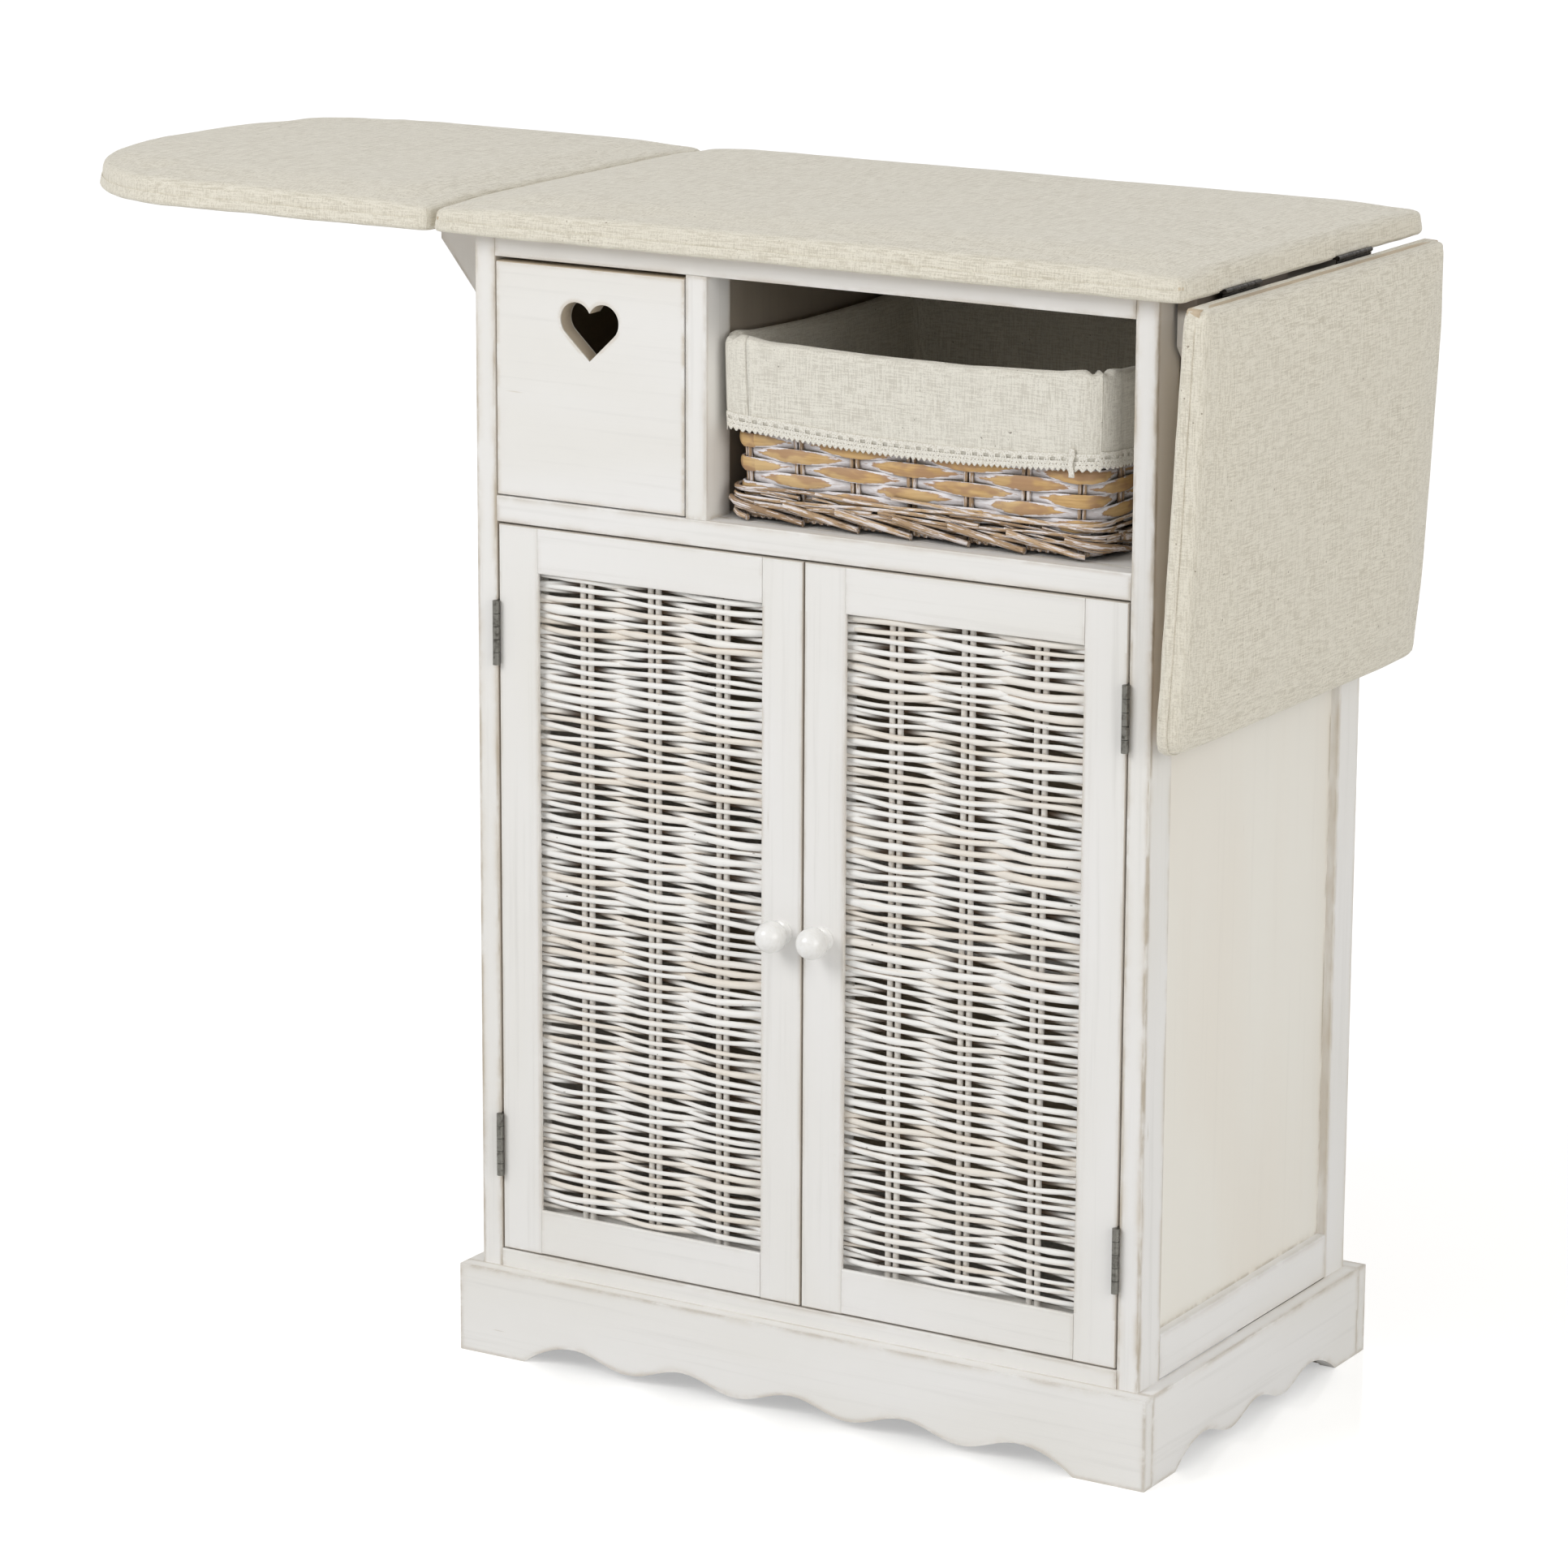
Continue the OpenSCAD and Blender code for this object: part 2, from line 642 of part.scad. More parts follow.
// Left wing standing out from the cabinet's side: the button on its toe carries the leaf,
// and its top stays below the knuckles of the leaf's hinge
module wing() {
  root_x = -half_w - seat_gap;
  difference() {
    translate([0, wing_y + wing_t, 0]) rotate([90, 0, 0]) linear_extrude(wing_t)
      polygon([[root_x, wing_z0], [root_x, wing_top_z], [wing_tip_x, wing_top_z],
        [wing_tip_x, wing_z1 - wing_tip_h]]);
    rest_button(pin_gap);
  }
  rest_button();
}

// Hinge half of the left wing: one plate on the cabinet's side, one on the wing's front face
module wing_hinge_half(moving) {
  for (z = wing_hinges_z) translate([-wing_axis_x, wing_axis_y, z])
    mirror([0, moving ? 0 : 1, 0]) rotate([0, 0, moving ? 180 : 90])
      hinge_half(wing_hinge_len, wing_knuckle_r, wing_plate_w, plate_t, -wing_knuckle_r, !moving);
}

// Folds a left wing and what is on it flat against the side, towards the front
module folded() {
  translate([-wing_axis_x, wing_axis_y, 0]) rotate([0, 0, 90])
    translate([wing_axis_x, -wing_axis_y, 0]) children();
}

module wing_hinge_side_leaves() color(nickel) in_frame() for (s = [-1, 1]) side(s)
  wing_hinge_half(false);
module left_wing() color(paint) in_frame() wing();
module left_wing_hinge_leaves() color(nickel) in_frame() wing_hinge_half(true);
module right_wing() color(paint) in_frame() side(1) folded() wing();
module right_wing_hinge_leaves() color(nickel) in_frame() side(1) folded() wing_hinge_half(true);

// Doors, drawn as the left one

// Cuts the groove for the woven panel round the door's opening
module grooved() {
  difference() {
    children();
    translate([door_x0 + stile_w - groove_d, (door_t - groove_w) / 2, door_z + stile_w - groove_d])
      cube([opening_w + 2 * groove_d, groove_w, opening_h + 2 * groove_d]);
  }
}

module door_stiles() {
  for (x = [door_x0, door_x0 + door_w - stile_w])
    grooved() translate([x, 0, door_z]) upright(stile_w, door_t, door_h);
}

module door_rails() {
  for (z = [door_z, door_z + door_h - stile_w])
    grooved() translate([door_x0 + stile_w, 0, z]) rail_x(opening_w, door_t, stile_w);
}

// One willow weaver seen from above, bending round three pairs of stakes
module weaver(bend) {
  xs = concat([-weaver_len / 2], [for (i = [-weave_steps:weave_steps]) i * weave_step], [weaver_len / 2]);
  ys = [for (x = xs) bend * cos(180 * x / stake_pitch)];
  last = len(xs) - 1;
  linear_extrude(weaver_h) polygon(concat(
    [for (i = [0:last]) [xs[i], ys[i] - weaver_t / 2]],
    [for (i = [last:-1:0]) [xs[i], ys[i] + weaver_t / 2]]));
}

// Woven panel: the weavers go in front of and behind the stakes two by two
module door_wicker() {
  z0 = door_z + stile_w + (opening_h - (weaver_rows - 1) * weaver_pitch - weaver_h) / 2;
  translate([door_x0 + door_w / 2, door_t / 2, 0]) {
    for (i = [0:weaver_rows - 1])
      translate([0, 0, z0 + i * weaver_pitch]) weaver(floor(i / 2) % 2 == 0 ? wave : -wave);
    for (x = [-stake_pitch, 0, stake_pitch], s = [-1, 1])
      translate([x + s * (stake_r + weave_gap / 2), 0, door_z + stile_w - groove_d + groove_gap])
        cylinder(opening_h + 2 * (groove_d - groove_gap), r = stake_r, $fn = edge_fn);
  }
}

// Turned knob: a ball on a short neck and a base disc
module door_knob() {
  translate([door_x0 + door_w - knob_in, 0, door_z + knob_up]) rotate([90, 0, 0]) {
    cylinder(knob_base_t, r = knob_base_r, $fn = round_fn);
    cylinder(knob_neck + knob_r, r = knob_neck_r, $fn = round_fn);
    translate([0, 0, knob_neck + knob_r]) sphere(knob_r, $fn = round_fn);
  }
}

module left_door_stiles() color(paint) in_frame() door_stiles();
module left_door_rails() color(paint) in_frame() door_rails();
module left_door_wicker() color(willow_white) in_frame() door_wicker();
module left_door_knob() color(paint) in_frame() door_knob();
module right_door_stiles() color(paint) in_frame() side(1) door_stiles();
module right_door_rails() color(paint) in_frame() side(1) door_rails();
module right_door_wicker() color(willow_white) in_frame() side(1) door_wicker();
module right_door_knob() color(paint) in_frame() side(1) door_knob();

// Drawer

// Heart with its lobes' centres on the X axis: two discs and the tangents to the tip
module heart() {
  reach = sqrt(heart_lobe_x * heart_lobe_x + heart_tip * heart_tip);
  a = asin(heart_lobe_r / reach) + atan(heart_lobe_x / heart_tip);
  run = sqrt(reach * reach - heart_lobe_r * heart_lobe_r);
  for (s = [-1, 1]) translate([s * heart_lobe_x, 0]) circle(heart_lobe_r, $fn = round_fn);
  polygon([[0, -heart_tip], [run * sin(a), run * cos(a) - heart_tip], [0, 0],
    [-run * sin(a), run * cos(a) - heart_tip]]);
}

module drawer_front() color(paint) in_frame() {
  difference() {
    translate([drawer_x0, 0, drawer_z0]) rail_x(drawer_w, drawer_front_t, drawer_h);
    translate([drawer_x0 + drawer_w / 2, drawer_front_t + over, drawer_z0 + drawer_h - heart_down])
      rotate([90, 0, 0]) linear_extrude(drawer_front_t + 2 * over) heart();
  }
}

module drawer_sides() color(raw_wood) in_frame() {
  for (x = [box_x0, box_x0 + box_w - drawer_side_t])
    translate([x, drawer_front_t, drawer_box_z0]) cube([drawer_side_t, drawer_box_d, drawer_side_h]);
}

module drawer_back() color(raw_wood) in_frame() {
  translate([box_x0 + drawer_side_t, drawer_front_t + drawer_box_d - drawer_side_t, drawer_box_z0])
    cube([box_w - 2 * drawer_side_t, drawer_side_t, drawer_side_h]);
}

module drawer_bottom() color(raw_wood) in_frame() {
  translate([box_x0 + drawer_side_t, drawer_front_t, drawer_box_z0 + drawer_bottom_t])
    cube([box_w - 2 * drawer_side_t, drawer_box_d - drawer_side_t, drawer_bottom_t]);
}

// Basket

// A flared round-cornered solid between two heights, grown outward by a margin
module flared(z0, z1, margin) {
  hull() for (z = [z0, z1 - slab]) translate([basket_x, basket_y, row_z0 + seat_gap + z])
    linear_extrude(slab) translate([-basket_w / 2 - margin - z * rim_k, -basket_d / 2 - margin - z * rim_k])
      round_rect(basket_w + 2 * (margin + z * rim_k), basket_d + 2 * (margin + z * rim_k),
        basket_corner_r + margin);
}

// A flared ring between two margins
module flared_ring(z0, z1, outer, inner) {
  difference() {
    flared(z0, z1, outer);
    flared(z0 - over, z1 + over, inner);
  }
}

module basket_body() color(willow) in_frame() {
  difference() {
    flared(0, basket_h, 0);
    flared(basket_wall, basket_h + over, -basket_wall);
  }
}

module basket_border() color(willow) in_frame() flared_ring(0, border_h, border_out, 0);

// Liner: a cloth tub inside, turned over the rim and hanging down outside
module basket_liner() color(linen) in_frame() {
  difference() {
    flared(liner_in, basket_h + liner_t, -liner_in);
    flared(liner_in + liner_t, basket_h + liner_t + over, -liner_in - liner_t);
  }
  flared_ring(basket_h - liner_drop, basket_h + liner_t, liner_t + seat_gap, seat_gap);
  flared_ring(basket_h + seat_gap, basket_h + liner_t, seat_gap + over, -liner_in - liner_t);
}

module basket_lace() color(lace_white) in_frame()
  flared_ring(basket_h - liner_drop - lace_h, basket_h - liner_drop, liner_t, seat_gap);

front_left_post();
front_right_post();
back_left_post();
back_right_post();
left_side_rails();
right_side_rails();
left_side_panel();
right_side_panel();
wing_battens();
back_rails();
back_panel();
top_rail();
middle_rail();
bottom_rail();
divider_post();
divider_panel();
compartment_floor();
floor_panel();
inner_shelf();
shelf_battens();
drawer_guides();
plinth_front();
plinth_back();
plinth_left();
plinth_right();
centre_board();
centre_pad();
door_hinge_post_leaves();
leaf_hinge_centre_leaves();
wing_hinge_side_leaves();
door_catches();
left_door_stiles();
left_door_rails();
left_door_wicker();
left_door_knob();
left_door_hinge_leaves();
right_door_stiles();
right_door_rails();
right_door_wicker();
right_door_knob();
right_door_hinge_leaves();
drawer_front();
drawer_sides();
drawer_back();
drawer_bottom();
basket_body();
basket_border();
basket_liner();
basket_lace();
left_leaf_board();
left_leaf_pad();
left_leaf_hinge_leaves();
right_leaf_board();
right_leaf_pad();
right_leaf_hinge_leaves();
left_wing();
left_wing_hinge_leaves();
right_wing();
right_wing_hinge_leaves();
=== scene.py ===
# %% [markdown]
# An ironing board cabinet: a white-washed wooden body with two woven doors, a drawer, a lined basket,
# and a padded top with two folding leaves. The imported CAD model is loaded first, as a fixed frame.
# Everything below dresses that frame: the wood stays and gets its finish, and the soft and woven parts
# are modelled again with more detail, exactly where the frame says they are.

# %% Load the frame
import math
import random

import bmesh
import bpy
from mathutils import Matrix, Vector, noise


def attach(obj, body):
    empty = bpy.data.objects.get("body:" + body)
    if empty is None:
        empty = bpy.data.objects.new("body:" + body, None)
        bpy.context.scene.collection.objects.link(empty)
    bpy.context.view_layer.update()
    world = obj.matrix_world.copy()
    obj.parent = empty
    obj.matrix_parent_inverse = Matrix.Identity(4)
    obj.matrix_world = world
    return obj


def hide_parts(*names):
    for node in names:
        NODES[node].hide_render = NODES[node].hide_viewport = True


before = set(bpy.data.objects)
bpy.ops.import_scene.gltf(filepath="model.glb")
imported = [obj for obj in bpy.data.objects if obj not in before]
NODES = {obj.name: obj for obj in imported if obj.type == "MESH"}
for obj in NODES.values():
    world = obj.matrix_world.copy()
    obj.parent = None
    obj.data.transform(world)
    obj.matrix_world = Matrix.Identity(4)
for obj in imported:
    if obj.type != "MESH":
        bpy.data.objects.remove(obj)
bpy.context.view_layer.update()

FRONT = -0.3485

# %% [markdown]
# The picture was taken from the right and a little above, with a long lens. A long lens keeps upright
# edges almost parallel. The camera gets its place and its three turns as numbers, so that the view never
# depends on what stands in the scene.

# %% Camera
YAW, PITCH, ROLL = (math.radians(a) for a in (31.0617, -13.8958, 0.2345))
CAMERA_AT, LENS = (2.1594, -3.9603, 1.5308), 135.24
forward = Vector((-math.sin(YAW) * math.cos(PITCH), math.cos(YAW) * math.cos(PITCH), math.sin(PITCH)))
level = Vector((math.cos(YAW), math.sin(YAW), 0))
upright = level.cross(forward)
right = level * math.cos(ROLL) + upright * math.sin(ROLL)
up = upright * math.cos(ROLL) - level * math.sin(ROLL)


def new_object(name, data):
    """An object in the scene, made from a mesh, a lamp or a camera."""
    thing = bpy.data.objects.new(name, data)
    bpy.context.collection.objects.link(thing)
    return thing


camera = new_object("camera", bpy.data.cameras.new("camera"))
camera.data.lens = LENS
camera.data.sensor_width = 36
camera.matrix_world = (
    Matrix.Translation(CAMERA_AT)
    @ Matrix((right, up, -forward)).transposed().to_4x4()
)
bpy.context.scene.camera = camera
print("Camera looks along", tuple(round(c, 3) for c in forward))

# %% [markdown]
# Soft studio light comes from large area lamps: a large one at the upper left in front, which makes the
# front the brightest side, a weaker one from the right, a faint one from behind, and a low level all
# round from the world. The world shows white to the camera and in reflections, but it lights gently.

# %% Lamps
LAMP_WIDTH = 2.0


def lamp(name, at, towards, watts, tone=(1, 1, 1)):
    """A square area lamp at one point, aimed at another."""
    light = bpy.data.lights.new(name, "AREA")
    light.size = LAMP_WIDTH
    light.energy = watts
    light.color = tone
    thing = new_object(name, light)
    thing.location = at
    thing.rotation_euler = (Vector(towards) - Vector(at)).to_track_quat("-Z", "Y").to_euler()


lamp("key_lamp", (-1.9, -3.4, 2.9), (0, 0, 0.45), 76)
lamp("fill_lamp", (3.4, -1.6, 1.7), (0, 0, 0.5), 39, (1, 0.975, 0.93))
lamp("back_lamp", (0.6, 3.0, 2.6), (0, 0, 0.6), 14)
print("Three lamps stand round the cabinet")

# %% Helpers for materials
class Bench:
    """One material is made at a time. It lies here while the helpers add nodes to it."""
    finish = tree = None


def feed(value, socket):
    """Links a node's output to a socket, or sets the socket's own value."""
    if isinstance(value, bpy.types.NodeSocket):
        Bench.tree.links.new(value, socket)
    elif hasattr(value, "__len__") and len(value) == 3 and socket.type == "RGBA":
        socket.default_value = (*value, 1)
    else:
        socket.default_value = value


def add(kind, **values):
    """Adds a shader node. Small names are its settings, and names with capitals are its inputs."""
    node = Bench.tree.nodes.new("ShaderNode" + kind)
    for name, value in values.items():
        if name[0].islower():
            setattr(node, name, value)
    for name, value in values.items():
        if name[0].isupper():
            feed(value, node.inputs[name.replace("_", " ")])
    return node


def mix(share, one, other):
    """Mixes two colours by a share."""
    node = add("Mix", data_type="RGBA")
    for socket, value in ((0, share), (6, one), (7, other)):
        feed(value, node.inputs[socket])
    return node.outputs[2]


def spread(value, low, high, to_low=0.0, to_high=1.0):
    """Maps low to high smoothly onto to_low to to_high."""
    return add(
        "MapRange", interpolation_type="SMOOTHSTEP", Value=value,
        From_Min=low, From_Max=high, To_Min=to_low, To_Max=to_high,
    ).outputs[0]


def coat(colour, other, value, low, high, share=1.0):
    """Lays another colour over a colour, up to a share, as a value goes from low to high."""
    return mix(spread(value, low, high, 0, share), colour, other)


def math_node(operation):
    """A function that joins two numbers or sockets by one operation of the Math node."""
    def joined_by(a, b=0.0):
        node = add("Math", operation=operation)
        feed(a, node.inputs[0])
        feed(b, node.inputs[1])
        return node.outputs[0]
    return joined_by


# For masks, times gives where both are, and larger gives where either is.
times, plus, minus, larger, above, below, size_of = (
    math_node(operation)
    for operation in ("MULTIPLY", "ADD", "SUBTRACT", "MAXIMUM", "GREATER_THAN", "LESS_THAN", "ABSOLUTE")
)


def place_of():
    """The x, y and z of a point, in the object's own coordinates."""
    return add("SeparateXYZ", Vector=add("TexCoord").outputs["Object"]).outputs


def crevices(width):
    """1 in the open, and less the deeper a place lies in a crevice of this width."""
    return add("AmbientOcclusion", samples=4, Distance=width).outputs["AO"]


def noise_at(place, per_metre, detail, shift=0.0):
    """Noise at a place, with a rate per metre along each of its three axes."""
    scaled = add("Mapping", Vector=place, Scale=per_metre, Location=(shift, 2 * shift, 3 * shift))
    noisy = add("TexNoise", Vector=scaled.outputs[0], Scale=1.0, Detail=detail, Roughness=0.6)
    return noisy.outputs[0]


def grain(per_metre, detail, shift):
    """Noise on the object's own coordinates, with a rate per metre on x, y and z."""
    return noise_at(add("TexCoord").outputs["Object"], per_metre, detail, shift)


def start_finish(name, roughness, **sockets):
    """A new material on the bench; what is the same all over is set on its shader's own sockets."""
    Bench.finish = bpy.data.materials.new(name)
    Bench.finish.use_nodes = True
    Bench.tree = Bench.finish.node_tree
    shader = Bench.tree.nodes["Principled BSDF"]
    shader.inputs["Roughness"].default_value = roughness
    for socket, value in sockets.items():
        feed(value, shader.inputs[socket.replace("_", " ")])
    return shader


def end_finish(colour, height=None, depth=0.0):
    """Joins the colour, and a height as bump of a depth in metres, to the shader."""
    shader = Bench.tree.nodes["Principled BSDF"]
    feed(colour, shader.inputs["Base Color"])
    if height is not None:
        bump = add("Bump", Strength=1.0, Distance=depth, Height=height)
        feed(bump.outputs[0], shader.inputs["Normal"])
    print("Material", Bench.finish.name, "has", len(Bench.tree.nodes), "nodes")
    return Bench.finish


# %% [markdown]
# The floor is a plain pale sweep. To the camera it shows almost white, so that it meets the white
# background without a line, but it still takes the cabinet's soft shadow and a faint mirror image.

# %% Floor and world
def seen_directly():
    """1 for rays from the camera, from reflections and through glass; 0 for light that falls on things."""
    path = add("LightPath")
    straight = larger(path.outputs["Is Camera Ray"], path.outputs["Is Glossy Ray"])
    return larger(straight, path.outputs["Is Transmission Ray"])


WORLD_LIGHT, WORLD_SHOWN, FLOOR_GLOW = 0.52, 1.0, 0.40

world = bpy.data.worlds.new("studio")
bpy.context.scene.world = world
world.use_nodes = True
Bench.tree = world.node_tree
background = Bench.tree.nodes["Background"].inputs
background["Color"].default_value = (1, 1, 1, 1)
feed(spread(seen_directly(), 0, 1, WORLD_LIGHT, WORLD_SHOWN), background["Strength"])

bpy.ops.object.select_all(action="DESELECT")
bpy.ops.mesh.primitive_plane_add(size=60)
floor = bpy.context.object
floor.name = "floor"
shader = start_finish("pale_floor", 0.10, Specular_IOR_Level=0.4, Emission_Color=(1, 1, 1))
feed(spread(seen_directly(), 0, 1, 0, FLOOR_GLOW), shader.inputs["Emission Strength"])
floor.data.materials.append(end_finish((0.80, 0.798, 0.79)))

bpy.context.scene.view_settings.view_transform = "Standard"

# %% [markdown]
# The wood is pine with a thin coat of white wash. Three things make it look real: faint streaks along
# the grain, a slow change between a cooler and a warmer white, and edges where the white is rubbed off
# and grey-brown wood shows. A Bevel node finds the edges: it gives the normal that a rounded edge would
# have, and where that differs from the flat normal there is an edge. The grain runs along each board,
# so the same recipe is made three times, for boards along x, y and z. Some boards also get a patch: a
# mask for a place that the brush hardly reached, such as the inside of the heart. Other patches are painted
# shade: on the faces in the gaps round the doors, on the drawer's top and at the top of the right side.

# %% White-washed pine
def rubbed_edges(radius):
    """1 at sharp edges, 0 on flat faces."""
    rounded = add("Bevel", samples=4, Radius=radius).outputs[0]
    flat = add("NewGeometry").outputs["Normal"]
    same = add("VectorMath", operation="DOT_PRODUCT")
    feed(rounded, same.inputs[0])
    feed(flat, same.inputs[1])
    return spread(same.outputs["Value"], 0.999, 0.86)


def along(axis, coarse, fine):
    """Noise rates per metre: coarse along the board, fine across it."""
    return tuple(coarse if a == axis else fine for a in "xyz")


def shade(colour, share):
    """A colour made darker by a share."""
    return tuple(c * share for c in colour)


GRIME = (0.60, 0.53, 0.43)
GRAIN_DEPTH = 0.00012


def washed_pine(name, axis, white, warm, bare_and_shade, wear, streak=0.3, grime=0.45, patch=None):
    """Washed pine with its grain along an axis. Wear is how much unpainted wood shows at the edges, and grime
    is how much grey-brown lies beside them. A patch adds thin paint on some boards and painted shade on
    others."""
    start_finish(name, 0.55, Specular_IOR_Level=0.38)
    streaks = grain(along(axis, 4, 150), 4, 1.7)
    clouds = grain(along(axis, 2.5, 9), 2, 4.1)
    colour = coat(white, warm, clouds, 0.35, 0.7)
    colour = coat(colour, shade(warm, 0.8), streaks, 0.52, 0.78, streak)
    fibres = grain(along(axis, 14, 900), 2, 0.3)
    clouded = spread(grain((30, 30, 30), 4, 5.9), 0.35, 0.7, 0, grime)
    colour = mix(times(rubbed_edges(0.012), clouded), colour, GRIME)
    patchy = spread(grain(along(axis, 22, 60), 5, 7.7), 0.38, 0.58)
    rubbed = times(rubbed_edges(0.006), patchy)
    nicks = spread(grain(along(axis, 10, 120), 2, 9.1), 0.75, 0.80)
    worn = times(larger(rubbed, nicks), wear)
    # Some patches are painted shade, in the gaps round the doors and drawer and under the folded leaf, laid
    # in the same dark colour as worn edges.
    if patch:
        worn = larger(worn, patch())
    colour = mix(worn, colour, bare_and_shade)
    height = minus(plus(streaks, times(fibres, 0.4)), worn)
    return end_finish(colour, height, GRAIN_DEPTH)


WASH = dict(white=(0.85, 0.84, 0.825), warm=(0.815, 0.80, 0.765), bare_and_shade=(0.43, 0.36, 0.27), wear=0.75)
pine = {axis: washed_pine("washed_pine_" + axis, axis, **WASH) for axis in "xyz"}

# %% Cream panels and bare pine
CREAM = dict(
    white=(0.86, 0.835, 0.77), warm=(0.845, 0.805, 0.73), bare_and_shade=(0.33, 0.27, 0.19), wear=0.8, streak=0.12,
)
cream_panel = washed_pine("cream_panel", "z", **CREAM)
RAW = dict(white=(0.62, 0.52, 0.38), warm=(0.55, 0.44, 0.31), bare_and_shade=(0.30, 0.21, 0.13), wear=0.4)
raw_pine = {axis: washed_pine("raw_pine_" + axis, axis, **RAW) for axis in "xyz"}
# The divider panel gets a dark copy of the wash: painted shade for the inside of the cabinet.
SHADED = dict(white=(0.40, 0.355, 0.30), warm=(0.34, 0.295, 0.24), bare_and_shade=(0.20, 0.16, 0.12), wear=0.4)
painted_shade_pine = washed_pine("painted_shade_pine", "z", **SHADED)

# %% Patches where the paint is thin, and patches of painted shade
HEART_X, HEART_Z, HEART_DEPTH = (-0.216, -0.155), (0.770, 0.845), (FRONT + 0.0012, FRONT + 0.0138)
OPENING_LOW, OPENING_HIGH = 0.1205, 0.6215
SHADOW_FROM, SHADOW_FULL = 0.858, 0.866
SAME_PLANE = 0.0006


def reach(name, axis):
    """The lowest and highest place of a node along an axis."""
    places = [p.co[axis] for p in NODES[name].data.vertices]
    return min(places), max(places)


def away_from(socket, at):
    """How far a socket's value is from a number."""
    return size_of(minus(socket, at))


def between(socket, low, high):
    """1 where a socket's value lies between two numbers."""
    return times(above(socket, low), below(socket, high))


def painted_gap_shade(share, *planes):
    """Painted shade, up to a share, on the faces that look into the gap round a door or drawer.
    A plane is an axis and a place on it."""
    # Painted shade: the faces inside the gaps are darkened where the real gap lies in shadow.
    place = place_of()
    near = 0.0
    for axis, at in planes:
        near = larger(near, below(away_from(place[axis], at), SAME_PLANE))
    return times(near, share)


def heart_cut_and_top_shade():
    """The faces inside the heart-shaped hole, which the brush didn't reach, and painted shade on the drawer
    front's top.
    """
    place = place_of()
    inside = 1.0
    for axis, limits in enumerate((HEART_X, HEART_DEPTH, HEART_Z)):
        inside = times(inside, between(place[axis], *limits))
    # Painted shade on the drawer front's top face, in the gap under the rail.
    top = painted_gap_shade(0.9, (2, reach("drawer_front", 2)[1]))
    return larger(times(inside, 0.85), top)


def door_gap_shade():
    """Painted shade on the faces at the outside of the doors, which look into the gaps round them."""
    doors = "left_door_stiles", "right_door_stiles"
    planes = [(axis, at) for door in doors for axis in (0, 2) for at in reach(door, axis)]
    return painted_gap_shade(0.6, *planes)


def post_wear_and_gap_shade():
    """Wear down the front edges of the posts, and painted shade on the face where the left door closes
    against its post.
    """
    place = place_of()
    edges = [at for post in ("front_left_post", "front_right_post") for at in reach(post, 0)]
    near = 0.0
    for at in edges:
        near = larger(near, spread(away_from(place[0], at), 0.0036, 0.0006))
    in_front = spread(place[1], FRONT + 0.005, FRONT + 0.001)
    patchy = spread(grain((90, 90, 24), 4, 2.6), 0.44, 0.64, 0.05, 0.8)
    worn = times(times(near, in_front), patchy)
    # The face beside the left door's gap gets painted shade.
    return larger(worn, painted_gap_shade(0.6, (0, edges[1])))


def opening_wear_and_gap_shade():
    """Wear on the edges of a door's stiles, only beside the woven panel: at the joints the paint is whole.
    Painted shade on the faces at the outside of the door is added.
    """
    panel = between(place_of()[2], OPENING_LOW + 0.0015, OPENING_HIGH - 0.0015)
    patchy = spread(grain((60, 60, 16), 4, 1.9), 0.36, 0.6, 0.1, 0.8)
    edge = times(times(rubbed_edges(0.005), patchy), panel)
    return larger(edge, door_gap_shade())


def step_face():
    """Stain on the narrow face by which a back post stands proud of its side panel: its paint is thin."""
    stain = spread(grain((60, 60, 14), 3, 3.4), 0.3, 0.6, 0.12, 0.45)
    face = below(place_of()[1], reach("back_right_post", 1)[0] + 0.0008)
    return times(face, stain)


def painted_shade_under_leaf():
    """Painted shade at the very top of the side, under the folded leaf."""
    return spread(place_of()[2], SHADOW_FROM, SHADOW_FULL, 0, 0.9)

# %% Pine with patches
# The drawer front's top gets painted shade in the same colour as its worn edges.
DRAWER = dict(WASH, bare_and_shade=(0.50, 0.41, 0.29), grime=0.2)
drawer_pine = washed_pine("drawer_pine", "x", **DRAWER, patch=heart_cut_and_top_shade)
# The faces at the outside of the doors get painted shade where they look into the gaps.
DOOR = dict(WASH, wear=0.25, grime=0.10, streak=0.4)
stile_pine = washed_pine("stile_pine", "z", **DOOR, patch=opening_wear_and_gap_shade)
door_rail_pine = washed_pine("door_rail_pine", "x", **DOOR, patch=door_gap_shade)
FRONT_POST = dict(WASH, grime=1.0, streak=0.4, wear=0.95)
front_post_pine = washed_pine("front_post_pine", "z", **FRONT_POST, patch=post_wear_and_gap_shade)
BACK_POST = dict(WASH, bare_and_shade=(0.46, 0.37, 0.25))
back_post_pine = washed_pine("back_post_pine", "z", **BACK_POST, patch=step_face)
# The right side rails and wing get near-black painted shade at the top, under the folded leaf.
SHADE_UNDER_LEAF = dict(WASH, bare_and_shade=(0.13, 0.10, 0.075), wear=0.2)
right_rail_shaded_pine = washed_pine("right_rail_shaded_pine", "y", **SHADE_UNDER_LEAF, patch=painted_shade_under_leaf)
right_wing_shaded_pine = washed_pine("right_wing_shaded_pine", "z", **SHADE_UNDER_LEAF, patch=painted_shade_under_leaf)

# %% Gloss paint of the knobs
start_finish("knob_gloss", 0.28, Specular_IOR_Level=0.5, Coat_Weight=0.5, Coat_Roughness=0.12)
rings = grain((240, 700, 240), 2, 3.9)
knob_colour = coat((0.88, 0.875, 0.86), (0.83, 0.82, 0.79), rings, 0.4, 0.75)
knob_gloss = end_finish(knob_colour, rings, 0.00003)

